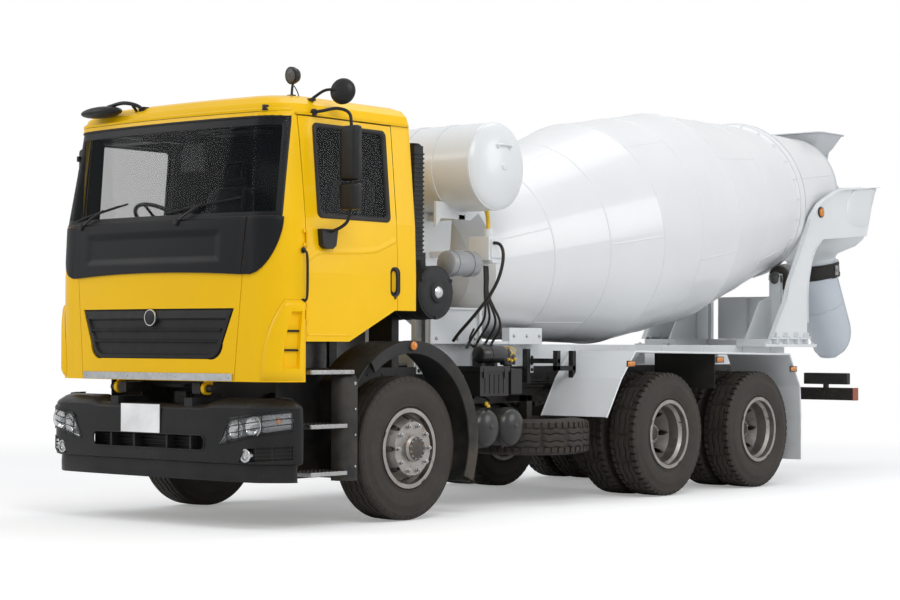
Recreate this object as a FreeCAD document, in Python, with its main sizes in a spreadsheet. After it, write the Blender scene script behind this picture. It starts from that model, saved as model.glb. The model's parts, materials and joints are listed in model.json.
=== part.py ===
"""Concrete mixer truck: a three-axle cab-over chassis with a revolving drum.

Millimetres.  +Z is up, the cab faces -Y, +X is the truck's left side.  Every piece is drawn in
truck coordinates, with Y counted from the front axle, and its Placement then moves it to the
row frame, whose origin is on the ground under the middle of the whole truck.
"""
import FreeCAD, Part
import math
import os
import Sketcher
from FreeCAD import Placement, Rotation, Vector

doc = FreeCAD.newDocument("ConcreteMixerTruck")

# ---------------------------------------------------------------- driving dimensions

SIZES = dict(
    front_axle_y=-3395,
    # wheels
    tyre_radius=522, tyre_width=290, tyre_wall=22, tyre_shoulder=30,
    rim_radius=290, rim_wall=12, rim_well=252, bead_radius=272, rim_width=250,
    seat_width=35,
    hub_height=522, front_track_x=1030, kingpin_x=900, twin_outer_x=1055, twin_spacing=330,
    mid_axle_y=3320, axle_spacing=1440, brake_drum_radius=205, brake_drum_wall=15,
    hub_radius=95, bolt_ring=195, hand_hole_radius=22, hand_hole_circle=214,
    disc_root=30, hub_flange=20, front_hub_end=45, rear_hub_end=140,
    spindle_radius=45, bearing_gap=0.1, pin_radius=25, part_gap=5,
    # chassis
    rail_outer_x=425, rail_flange=80, rail_wall=9, rail_bottom=796, rail_top=1096,
    rail_front_y=-1150, rail_rear_y=6450, cross_radius=50,
    subframe_top=1277, subframe_wall=70, subframe_front_y=900, subframe_rear_y=6492,
    engine_width=640, engine_front_y=-780, engine_rear_y=450, engine_bottom=600,
    engine_top=1480,
    spring_x=485, spring_width=80, leaf_height=70, beam_width=110, beam_bottom=415, beam_top=515,
    axle_tube=75, diff_radius=215,
    # cab
    cab_half_width=1190, cab_roof_half_width=1112, cab_front_y=-1435, cab_waist_y=-1425,
    cab_top_front_y=-1330, cab_rear_y=80, cab_corner=270, cab_rear_corner=70, cab_bow=60,
    cab_bow_radius=6500,
    lid_half_width=887, lid_half_bottom=782,
    grille_bottom=1165, grille_top=1515, grille_half_bottom=662, grille_half_top=785,
    grille_corner=110,
    cab_bottom=1013, cab_belt=1760, cab_waist=2130, cab_header=2862, cab_roof=2998,
    cab_wall=55, glass_inset=8, glass_thickness=8, seam=6,
    floor_top=1340, floor_rear_top=1590, door_bottom=1290, door_rear_bottom=1514,
    door_front_y=-1102, door_rear_y=-168, door_top=2836, door_rise_front_y=-671,
    door_rise_rear_y=-190, window_front_y=-965, window_rear_y=-250, window_bottom=2157,
    window_top=2780, screen_half_bottom=1117, screen_half_top=1078,
    hinge_x=1196, hinge_y=-1105, hinge_radius=10, hinge_pin=6, hinge_height=70, hinge_end=20,
    low_hinge=1440, high_hinge=1960,
    tilt_pin_y=-1330, tilt_pin_z=960, tilt_pin_radius=28,
    # front end
    bumper_half_width=1246, bumper_front_y=-1480, bumper_rear_y=-1180, bumper_top=901,
    bumper_bottom=330, bumper_wall=70, bumper_corner=240, slot_half_width=580, slot_bottom=540,
    slot_top=645, lamp_inner_x=770, lamp_bottom=600, lamp_top=815, lamp_depth=55,
    guard_radius=735, guard_y=-20, guard_z=560, guard_wall=12, guard_inner_x=850,
    guard_outer_x=1200, guard_front_y=-624, step_front_y=-1060, low_step=390, mid_step=717,
    top_step=1090, step_thickness=28,
    # drum
    drum_y=1664, drum_z=1951, drum_tilt=9.3, drum_front_radius=625, drum_radius=985,
    drum_ring_radius=741, drum_mouth_radius=525, front_cone=1905, drum_cylinder=1215,
    rear_cone=1525, mouth_cone=1125, drum_wall=10, track_radius=775, track_width=80,
    dish_depth=170, drive_flange=190, shaft_radius=70,
    roller_radius=125, roller_width=110, roller_angle=32, roller_gap=0.5,
    # rear end
    arm_x=700, arm_wall=12, spout_behind=402, spout_below=753, spout_tilt=11,
    spout_radius=250, lip_width=14, lip_height=12, collar_drop=130, fit_gap=0.3,
    sheet_metal=8, chute_length=980, chute_slope=57,
    hopper_half_width=330, hopper_ahead=28, hopper_behind=522, hopper_above=596,
    throat_half_width=140,
    # equipment
    tank_radius=340, tank_y=1185, tank_z=2650, tank_half_length=1010,
    air_tank_radius=148, spare_x=600, spare_y=2095, spare_z=535,
)


class Size:
    """A length as a number for Python and as a formula over the sheet for FreeCAD."""

    def __init__(self, number, formula):
        self.number = number
        self.formula = formula

    def __add__(self, other):
        other = as_size(other)
        return Size(self.number + other.number, f"({self.formula} + {other.formula})")

    def __sub__(self, other):
        other = as_size(other)
        return Size(self.number - other.number, f"({self.formula} - {other.formula})")

    def __mul__(self, other):
        other = as_size(other)
        return Size(self.number * other.number, f"({self.formula} * {other.formula})")

    def __truediv__(self, other):
        other = as_size(other)
        return Size(self.number / other.number, f"({self.formula} / {other.formula})")

    def __neg__(self):
        return Size(-self.number, f"(-{self.formula})")

    def __radd__(self, other):
        return as_size(other) + self

    def __rsub__(self, other):
        return as_size(other) - self

    def __rmul__(self, other):
        return as_size(other) * self


def as_size(value):
    if isinstance(value, Size):
        return value
    return Size(float(value), f"({float(value)})")


class Sheet:
    """The spreadsheet of driving dimensions, read by attribute."""

    def __init__(self, sizes):
        self.cells = doc.addObject("Spreadsheet::Sheet", "Sizes")
        for row, (alias, number) in enumerate(sizes.items(), start=1):
            self.cells.set(f"A{row}", alias)
            self.cells.set(f"B{row}", str(number))
            self.cells.setAlias(f"B{row}", alias)
            setattr(self, alias, Size(number, f"Sizes.{alias}"))


s = Sheet(SIZES)
doc.recompute()

# ---------------------------------------------------------------- drawing helpers

TURN = {"X": Rotation(Vector(0, 1, 0), 90), "Y": Rotation(Vector(1, 0, 0), -90), "Z": Rotation()}
nodes = {}


def sine(angle):
    return Size(math.sin(math.radians(angle.number)), f"sin({angle.formula} * 1 deg)")


def cosine(angle):
    return Size(math.cos(math.radians(angle.number)), f"cos({angle.formula} * 1 deg)")


def set_size(thing, field, value):
    """Bind one property to the sheet."""
    thing.setExpression(field, as_size(value).formula)


def move(thing, x=0, y=0, z=0):
    for axis, value in zip("xyz", (x, y, z)):
        set_size(thing, f"Placement.Base.{axis}", value)
    return thing


def box(x0, x1, y0, y1, z0, z1, name="Block"):
    """A block between two corners."""
    block = doc.addObject("Part::Box", name)
    set_size(block, "Length", as_size(x1) - x0)
    set_size(block, "Width", as_size(y1) - y0)
    set_size(block, "Height", as_size(z1) - z0)
    return move(block, x0, y0, z0)


def rod(axis, radius, start, length, name="Rod"):
    """A cylinder that runs from start along +X, +Y or +Z."""
    cylinder = doc.addObject("Part::Cylinder", name)
    set_size(cylinder, "Radius", radius)
    set_size(cylinder, "Height", length)
    cylinder.Placement = Placement(Vector(), TURN[axis])
    return move(cylinder, *start)


def fuse(*pieces, name="Joined"):
    if len(pieces) == 1:
        return pieces[0]
    joined = doc.addObject("Part::MultiFuse", name)
    joined.Shapes = list(pieces)
    joined.Refine = True
    return joined


def cut(base, *tools, name="Cut"):
    result = doc.addObject("Part::Cut", name)
    result.Base = base
    result.Tool = fuse(*tools)
    return result


def common(first, second, name="Shared"):
    result = doc.addObject("Part::Common", name)
    result.Base = first
    result.Tool = second
    return result


def mirrored(piece, name="Mirrored"):
    """The same piece on the truck's other side."""
    other = doc.addObject("Part::Mirroring", name)
    other.Source = piece
    other.Normal = Vector(1, 0, 0)
    return other


def group(*pieces, name="Group"):
    """Separate solids that share one node."""
    bundle = doc.addObject("Part::Compound", name)
    bundle.Links = list(pieces)
    return bundle


def both_sides(piece):
    return group(piece, mirrored(piece))


def node(label, piece):
    """Name a finished piece and move it from truck coordinates to the row frame."""
    holder = doc.addObject("Part::Compound", label)
    holder.Links = [piece]
    holder.Label = label
    set_size(holder, "Placement.Base.y", s.front_axle_y)
    nodes[label] = holder
    return holder


def origin_part(body, role):
    return next(part for part in body.Origin.OriginFeatures if part.Role == role)


def new_body(name):
    return doc.addObject("PartDesign::Body", name)


def sketch_on(body, plane, offset=0):
    """A sketch on one of the body's own planes.

    Sketch axes: XY_Plane gives (x, y), XZ_Plane gives (x, z), YZ_Plane gives (y, z).
    """
    sketch = body.newObject("Sketcher::SketchObject", "Outline")
    sketch.AttachmentSupport = [(origin_part(body, plane), "")]
    sketch.MapMode = "FlatFace"
    set_size(sketch, "AttachmentOffset.Base.z", offset)
    return sketch


def draw(sketch, *points):
    """Draw a closed outline.

    A point is (u, v); (u, v, radius) makes the edge from it to the next point an arc that
    bulges to the right of its direction of travel when the radius is positive.
    """
    count = len(points)
    flat = [Vector(as_size(p[0]).number, as_size(p[1]).number, 0) for p in points]
    edges = []
    for i, point in enumerate(points):
        start, end = flat[i], flat[(i + 1) % count]
        if len(point) == 3:
            edges.append(arc_between(start, end, as_size(point[2]).number))
        else:
            edges.append((Part.LineSegment(start, end), 1, 2))
    ids = [sketch.addGeometry(edge, False) for edge, _, _ in edges]
    rules = []
    for i in range(count):
        following = (i + 1) % count
        rules.append(Sketcher.Constraint("Coincident", ids[i], edges[i][2],
                                         ids[following], edges[following][1]))
    for i, point in enumerate(flat):
        rules.append(Sketcher.Constraint("DistanceX", -1, 1, ids[i], edges[i][1], point.x))
        rules.append(Sketcher.Constraint("DistanceY", -1, 1, ids[i], edges[i][1], point.y))
    curved = [i for i, point in enumerate(points) if len(point) == 3]
    for i in curved:
        rules.append(Sketcher.Constraint("Radius", ids[i], abs(as_size(points[i][2]).number)))
    sketch.addConstraint(rules)
    for i, point in enumerate(points):
        set_size(sketch, f"Constraints[{count + 2 * i}]", point[0])
        set_size(sketch, f"Constraints[{count + 2 * i + 1}]", point[1])
    for row, i in enumerate(curved):
        radius = as_size(points[i][2])
        if radius.number < 0:
            radius = -radius
        set_size(sketch, f"Constraints[{3 * count + row}]", radius)
    return sketch


def arc_between(start, end, radius):
    """The shorter arc from start to end, with the numbers of its start and end vertices."""
    chord = end - start
    middle = (start + end) * 0.5
    right = Vector(chord.y, -chord.x, 0).normalize()
    side = 1 if radius > 0 else -1
    rise = math.sqrt(max(radius * radius - chord.Length ** 2 / 4, 0))
    centre = middle - right * rise * side
    circle = Part.Circle(centre, Vector(0, 0, 1), abs(radius))
    first = math.atan2(start.y - centre.y, start.x - centre.x)
    last = math.atan2(end.y - centre.y, end.x - centre.x)
    if side > 0:
        return Part.ArcOfCircle(circle, first, last), 1, 2
    return Part.ArcOfCircle(circle, last, first), 2, 1


def draw_circle(sketch, u, v, radius):
    u, v, radius = as_size(u), as_size(v), as_size(radius)
    centre = Vector(u.number, v.number, 0)
    circle = sketch.addGeometry(Part.Circle(centre, Vector(0, 0, 1), radius.number), False)
    rules = [Sketcher.Constraint("Radius", circle, radius.number),
             Sketcher.Constraint("DistanceX", -1, 1, circle, 3, u.number),
             Sketcher.Constraint("DistanceY", -1, 1, circle, 3, v.number)]
    first = sketch.ConstraintCount if sketch.ConstraintCount else 0
    sketch.addConstraint(rules)
    for row, value in enumerate((radius, u, v)):
        set_size(sketch, f"Constraints[{first + row}]", value)
    return sketch


def pad(body, sketch, length, midplane=False, backwards=False):
    feature = body.newObject("PartDesign::Pad", "Pad")
    feature.Profile = sketch
    set_size(feature, "Length", length)
    feature.Midplane = midplane
    feature.Reversed = backwards
    return feature


def pocket_through(body, sketch):
    feature = body.newObject("PartDesign::Pocket", "Pocket")
    feature.Profile = sketch
    feature.Type = "ThroughAll"
    feature.Midplane = True
    return feature


def revolve(body, sketch, axis):
    feature = body.newObject("PartDesign::Revolution", "Revolution")
    feature.Profile = sketch
    feature.ReferenceAxis = (origin_part(body, axis), [""])
    feature.Angle = 360
    return feature


def polar(body, original, axis, count):
    feature = body.newObject("PartDesign::PolarPattern", "Ring")
    feature.Originals = [original]
    feature.Axis = (origin_part(body, axis), [""])
    feature.Angle = 360
    feature.Occurrences = count
    body.Tip = feature
    return feature


def prism(plane, points, low, high, name="Prism"):
    """An outline pushed between two distances from one of the origin planes."""
    body = new_body(name)
    back = {"XZ_Plane": -1}.get(plane, 1)
    start = as_size(low) if back > 0 else -as_size(high)
    pad(body, draw(sketch_on(body, plane, start), *points), as_size(high) - low)
    return body


# ---------------------------------------------------------------- wheels

def tyre():
    """One tyre about the X axis, open towards the rim."""
    half = s.tyre_width / 2
    bead = s.rim_width / 2 - s.fit_gap
    wall = s.tyre_wall
    body = new_body("Tyre")
    sketch = sketch_on(body, "XZ_Plane")
    draw(sketch,
         (-bead, s.bead_radius), (-bead, s.rim_radius + s.rim_wall),
         (-half, s.tyre_radius - 150), (-half, s.tyre_radius - 60),
         (-half + s.tyre_shoulder, s.tyre_radius), (half - s.tyre_shoulder, s.tyre_radius),
         (half, s.tyre_radius - 60), (half, s.tyre_radius - 150),
         (bead, s.rim_radius + s.rim_wall), (bead, s.bead_radius),
         (bead - wall, s.bead_radius), (half - wall, s.tyre_radius - 150),
         (half - wall, s.tyre_radius - 60 - wall), (half - 40 - wall, s.tyre_radius - wall * 1.4),
         (-half + 40 + wall, s.tyre_radius - wall * 1.4),
         (-half + wall, s.tyre_radius - 60 - wall), (-half + wall, s.tyre_radius - 150),
         (-bead + wall, s.bead_radius))
    revolve(body, sketch, "X_Axis")
    return body


def rim(name="Rim"):
    """One rim about the X axis; its coned disc stands out to half the twin spacing."""
    half = s.rim_width / 2
    wall = s.rim_wall
    face = s.twin_spacing / 2
    seat = s.bead_radius - s.fit_gap
    lip = s.bead_radius - wall
    well = s.rim_well - wall
    body = new_body(name)
    sketch = sketch_on(body, "XZ_Plane")
    draw(sketch,
         (-half, s.rim_radius), (-half - wall, s.rim_radius), (-half - wall, lip),
         (-half + s.seat_width, lip), (-half + 60, well), (s.disc_root, well), (face - wall, s.bolt_ring),
         (face - wall, s.hub_radius), (face, s.hub_radius), (face, s.bolt_ring),
         (s.disc_root + 2 * wall, well), (half - 60, well), (half - s.seat_width, lip),
         (half + wall, lip),
         (half + wall, s.rim_radius), (half, s.rim_radius), (half, seat), (half - s.seat_width, seat),
         (half - 60, s.rim_well), (-half + 60, s.rim_well), (-half + s.seat_width, seat),
         (-half, seat))
    revolve(body, sketch, "X_Axis")
    hole = draw_circle(sketch_on(body, "YZ_Plane"), 0, s.hand_hole_circle, s.hand_hole_radius)
    polar(body, pocket_through(body, hole), "X_Axis", 8)
    return body


def hub(disc_x, cap_length, drum_in):
    """Hub and brake drum about the X axis, bored for the spindle, flanged behind the disc."""
    body = new_body("Hub")
    bore = s.spindle_radius + s.bearing_gap
    barrel = s.hub_radius
    shell = s.brake_drum_radius
    wall = s.brake_drum_wall
    back = disc_x - s.hub_flange
    cap = disc_x + s.rim_wall + cap_length
    sketch = draw(sketch_on(body, "XZ_Plane"),
                  (drum_in + 45, bore), (cap - 25, bore), (cap - 25, 0), (cap, 0),
                  (cap, barrel - 25), (cap - 25, barrel), (disc_x, barrel),
                  (disc_x, s.bolt_ring - 20), (back, s.bolt_ring - 20), (back, shell),
                  (drum_in, shell), (drum_in, shell - wall), (back - wall, shell - wall),
                  (back - wall, barrel - 10), (drum_in + 45, barrel - 10))
    revolve(body, sketch, "X_Axis")
    return body


def placed_wheel(label, centre_x, centre_y, left, pieces):
    """Put wheel pieces, drawn about the X axis, at one hub."""
    bundle = group(*pieces)
    move(bundle, centre_x, centre_y, s.hub_height)
    node(label, bundle if left else mirrored(bundle))


def front_wheels():
    disc_x = s.twin_spacing / 2 - s.rim_wall
    for side, left in (("left", True), ("right", False)):
        wheel = fuse(rim(), hub(disc_x, s.front_hub_end, as_size(-90)))
        placed_wheel(f"front_rim_{side}", s.front_track_x, 0, left, [wheel])
        placed_wheel(f"front_tyre_{side}", s.front_track_x, 0, left, [tyre()])


def rear_wheels():
    """Twin wheels: the inner and outer rims are bolted back to back at the middle plane."""
    half_gap = s.twin_spacing / 2
    for name, axle_y in (("mid", s.mid_axle_y), ("rear", s.mid_axle_y + s.axle_spacing)):
        for side, left in (("left", True), ("right", False)):
            inner = move(rim("InnerRim"), -half_gap, 0, 0)
            outer = rim("OuterRim")
            outer.Placement = Placement(Vector(), Rotation(Vector(0, 0, 1), 180))
            move(outer, half_gap, 0, 0)
            middle = hub(-s.rim_wall, s.rear_hub_end, as_size(-200))
            centre_x = s.twin_outer_x - half_gap
            placed_wheel(f"{name}_rims_{side}", centre_x, axle_y, left,
                         [fuse(inner, outer, middle)])
            tyres = [move(tyre(), -half_gap, 0, 0), move(tyre(), half_gap, 0, 0)]
            placed_wheel(f"{name}_tyres_{side}", centre_x, axle_y, left, tyres)


# ---------------------------------------------------------------- axles and steering

def front_axle():
    """Dropped beam with an eye for the kingpin at each end."""
    eye = s.kingpin_x
    beam = prism("XZ_Plane", [
        (-eye + 40, 465), (-s.spring_x - 120, s.beam_bottom), (s.spring_x + 120, s.beam_bottom),
        (eye - 40, 465), (eye - 40, 580), (s.spring_x + 120, s.beam_top),
        (-s.spring_x - 120, s.beam_top), (-eye + 40, 580)],
        -s.beam_width / 2, s.beam_width / 2)
    boss = rod("Z", 55, (eye, 0, 452), 140)
    bore = rod("Z", s.pin_radius + s.bearing_gap, (eye, 0, 440), 170)
    node("front_axle", cut(fuse(beam, boss, mirrored(boss)), bore, mirrored(bore)))


def knuckle():
    """Yoke round the beam eye, kingpin, brake plate and wheel spindle."""
    eye = s.kingpin_x
    gap = s.part_gap
    lower = rod("Z", 50, (eye, 0, 452 - gap - 40), 40)
    upper = rod("Z", 50, (eye, 0, 592 + gap), 40)
    web = box(eye + 60, eye + 78, -70, 70, 452 - gap - 40, 592 + gap + 40)
    lower_arm = box(eye, eye + 78, -50, 50, 452 - gap - 40, 452 - gap)
    upper_arm = box(eye, eye + 78, -50, 50, 592 + gap, 592 + gap + 40)
    pin = rod("Z", s.pin_radius, (eye, 0, 452 - gap - 20), 140 + 2 * gap + 40)
    spindle = rod("X", s.spindle_radius, (eye + 70, 0, s.hub_height), 225)
    return fuse(lower, upper, web, lower_arm, upper_arm, pin, spindle)


def knuckles():
    left = knuckle()
    node("knuckle_left", left)
    node("knuckle_right", mirrored(knuckle()))


def rear_axles():
    housings = []
    for axle_y in (s.mid_axle_y, s.mid_axle_y + s.axle_spacing):
        tube = rod("X", s.axle_tube, (-640, axle_y, s.hub_height), 1280)
        spindle = rod("X", s.spindle_radius, (-990, axle_y, s.hub_height), 1980)
        banjo = doc.addObject("Part::Sphere", "Banjo")
        set_size(banjo, "Radius", s.diff_radius)
        move(banjo, 0, axle_y, s.hub_height)
        trimmed = common(banjo, box(-170, 170, axle_y - 400, axle_y + 400, 0, 1000))
        nose = rod("Y", 90, (0, axle_y - s.diff_radius - 60, s.hub_height + 30), 160)
        housings.append(fuse(tube, spindle, trimmed, nose))
    node("rear_axles", group(*housings))


def leaf_springs():
    """Semi-elliptic leaf packs: one a side in front, one a side over the rear pair."""
    x0 = s.spring_x - s.spring_width / 2
    x1 = s.spring_x + s.spring_width / 2
    low = s.beam_top
    front = prism("YZ_Plane", [
        (-720, 690), (-400, low + 70), (-120, low), (120, low), (420, low + 70), (760, 690),
        (760, 720), (420, low + 120), (120, low + s.leaf_height + 30),
        (-120, low + s.leaf_height + 30), (-400, low + 120), (-720, 720)], x0, x1)
    front_hanger = box(x0, x1, -760, -700, 680, 860)
    rear_hanger = box(x0, x1, 740, 800, 680, 860)
    front_foot = box(s.rail_outer_x, x1, -760, -700, 820, 860)
    rear_foot = box(s.rail_outer_x, x1, 740, 800, 820, 860)
    last_y = s.mid_axle_y + s.axle_spacing
    middle_y = s.mid_axle_y + s.axle_spacing / 2
    seat = s.hub_height + s.axle_tube
    rear = prism("YZ_Plane", [
        (s.mid_axle_y - 90, seat), (s.mid_axle_y + 90, seat), (middle_y - 150, seat + 90),
        (middle_y + 150, seat + 90), (last_y - 90, seat), (last_y + 90, seat),
        (last_y + 90, seat + 40), (middle_y + 150, seat + 170),
        (middle_y - 150, seat + 170), (s.mid_axle_y - 90, seat + 40)], x0, x1)
    trunnion = box(s.rail_outer_x, x1, middle_y - 110, middle_y + 110, seat + 170, s.rail_top - 60)
    axle_rod = rod("X", 45, (-s.rail_outer_x - 60, middle_y, seat + 60),
                   2 * s.rail_outer_x + 120)
    left = fuse(front, front_hanger, rear_hanger, front_foot, rear_foot)
    bogie = fuse(rear, trunnion)
    node("leaf_springs", group(left, mirrored(left), fuse(bogie, mirrored(bogie), axle_rod)))


# ---------------------------------------------------------------- chassis

def chassis_frame():
    """Two channel rails, tube cross members and the brackets that carry the cab."""
    outer = s.rail_outer_x
    inner = outer - s.rail_flange
    wall = s.rail_wall
    rail = prism("XZ_Plane", [
        (inner, s.rail_bottom), (outer, s.rail_bottom), (outer, s.rail_top), (inner, s.rail_top),
        (inner, s.rail_top - wall), (outer - wall, s.rail_top - wall),
        (outer - wall, s.rail_bottom + wall), (inner, s.rail_bottom + wall)],
        s.rail_front_y, s.rail_rear_y)
    reach = s.tilt_pin_radius + 8
    bracket = box(inner, outer, s.tilt_pin_y - reach, s.rail_front_y + 30,
                  s.tilt_pin_z - reach, s.tilt_pin_z + reach)
    pin = rod("X", s.tilt_pin_radius, (inner + 10, s.tilt_pin_y, s.tilt_pin_z), 170)
    post = box(outer - 30, outer, -60, 20, s.rail_top - 20, s.door_rear_bottom + 36)
    feet = [box(s.engine_width / 2 + s.fit_gap, outer - wall / 2, y, as_size(y) + 120,
                s.rail_bottom + 60, s.rail_top - 60) for y in (-500, 300)]
    left = fuse(rail, bracket, pin, post, *feet)
    width = 2 * (outer - wall / 2)
    crosses = []
    for station in (-1080, 780, 1900, 2780, 4040, 5500):
        crosses.append(rod("X", s.cross_radius, (-outer + wall / 2, station, s.rail_top - 90),
                           width))
    tail = box(-outer + 1, outer - 1, s.rail_rear_y - 12, s.rail_rear_y, s.rail_bottom,
               s.rail_top)
    tow_bore = rod("Y", 30, (0, s.rail_rear_y - 40, 946), 80)
    tow_holes = [rod("Y", 9, (x, s.rail_rear_y - 40, 946 + z), 80)
                 for x in (-80, 80) for z in (-50, 50)]
    tail = cut(tail, tow_bore, *tow_holes)
    node("chassis_frame", fuse(left, mirrored(left), tail, *crosses))


def subframe():
    """Welded box beams on the rails, under the drum."""
    outer = s.rail_outer_x
    beam = box(outer - s.subframe_wall, outer, s.subframe_front_y, s.subframe_rear_y,
               s.rail_top, s.subframe_top)
    ties = [box(-outer + 10, outer - 10, y, as_size(y) + 90, s.rail_top + 30,
                s.subframe_top - 30)
            for y in (1000, 1900, 2800, 3700, 4600, 5500)]
    node("subframe", fuse(beam, mirrored(beam), *ties))


def engine():
    half = s.engine_width / 2
    node("engine_block", box(-half, half, s.engine_front_y, s.engine_rear_y, s.engine_bottom,
                             s.engine_top))


def drive_line():
    """Gearbox and the two propeller shafts."""
    level = s.hub_height + 30
    nose = s.diff_radius + 60
    gearbox = box(-200, 200, s.engine_rear_y + s.fit_gap, 1250, 650, 950)
    first = rod("Y", 45, (0, 1250, 820), 150)
    shaft = doc.addObject("Part::Cylinder", "Shaft")
    run = s.mid_axle_y - nose - 1400
    drop = 820 - level
    set_size(shaft, "Radius", 45)
    length = math.hypot(run.number, drop.number)
    tilt = math.degrees(math.atan2(drop.number, run.number))
    shaft.Height = length - 14
    shaft.Placement = Placement(Vector(0, 1400, 820), Rotation(Vector(1, 0, 0), -90 - tilt))
    between = rod("Y", 40, (0, s.mid_axle_y + s.diff_radius + s.fit_gap, level),
                  s.axle_spacing - s.diff_radius - nose - 2 * s.fit_gap)
    node("drive_line", group(fuse(gearbox, first, shaft), between))


# ---------------------------------------------------------------- cab

def cab_section(body, height, half, front, inset):
    """One plan outline of the cab at a height: bowed front, round corners, flat back."""
    half = half - inset
    front = front + inset
    rear = s.cab_rear_y - inset
    corner = s.cab_corner - inset
    back = s.cab_rear_corner - inset
    bow = s.cab_bow
    sketch = sketch_on(body, "XY_Plane", height)
    return draw(sketch,
                (-half + corner, front + bow, s.cab_bow_radius), (half - corner, front + bow, corner),
                (half, front + bow + corner), (half, rear - back, back),
                (half - back, rear), (-half + back, rear, back),
                (-half, rear - back), (-half, front + bow + corner, corner))


def cab_form(name, inset, floor, top):
    """The cab's outer form, or the same form drawn in by an inset."""
    body = new_body(name)
    body.AllowCompound = True
    heights = [(floor, s.cab_half_width, s.cab_front_y),
               (s.cab_belt, s.cab_half_width, s.cab_front_y),
               (s.cab_waist, s.cab_half_width - 12, s.cab_waist_y),
               (s.cab_header, s.cab_roof_half_width, s.cab_top_front_y)]
    sections = [cab_section(body, z, half, front, inset) for z, half, front in heights]
    walls = body.newObject("PartDesign::AdditiveLoft", "Walls")
    walls.Profile = sections[0]
    walls.Sections = sections[1:]
    walls.Ruled = True
    roof_rise = top - s.cab_header
    roof_steps = ((0, 0), (0.45, 22), (0.78, 70), (1, 170))
    caps = [cab_section(body, s.cab_header + roof_rise * rise, s.cab_roof_half_width - drawn,
                        s.cab_top_front_y + drawn, inset) for rise, drawn in roof_steps]
    roof = body.newObject("PartDesign::AdditiveLoft", "Roof")
    roof.Profile = caps[0]
    roof.Sections = caps[1:]
    roof.Ruled = True
    return body


def side_outline(grow):
    """The door's outline in (y, z), drawn out by a margin."""
    return [(s.door_front_y - grow, s.door_bottom - grow),
            (s.door_rise_front_y, s.door_bottom - grow),
            (s.door_rise_rear_y, s.door_rear_bottom - grow),
            (s.door_rear_y + grow, s.door_rear_bottom - grow),
            (s.door_rear_y + grow, s.door_top + grow),
            (s.door_front_y - grow, s.door_top + grow)]


def window_outline(inset):
    return [(s.window_front_y + inset, s.window_bottom + inset),
            (s.window_rear_y - inset, s.window_bottom + inset),
            (s.window_rear_y - inset, s.window_top - inset),
            (s.window_front_y + inset, s.window_top - inset)]


def screen_outline():
    return [(-s.screen_half_bottom, s.cab_waist), (s.screen_half_bottom, s.cab_waist),
            (s.screen_half_top, s.cab_header - 30), (-s.screen_half_top, s.cab_header - 30)]


def lid_prism(grow):
    """Region of the panel under the screen, narrower towards the bumper."""
    low, high = s.cab_bottom - 20, s.cab_waist + as_size(grow) / 6
    foot = s.lid_half_bottom + grow
    head = s.lid_half_width + grow
    return prism("XZ_Plane", [(-foot, low), (foot, low), (head, high), (-head, high)],
                 -1600, -1200)


def grille_prism():
    """Region of the grille, with rounded lower corners."""
    low, high = s.grille_bottom, s.grille_top
    foot, head = s.grille_half_bottom, s.grille_half_top
    curve = s.grille_corner
    return prism("XZ_Plane", [
        (-foot + curve, low), (foot - curve, low, curve), (foot + curve / 4, low + curve),
        (head, high), (-head, high), (-foot - curve / 4, low + curve, curve)], -1600, -1200)


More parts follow.
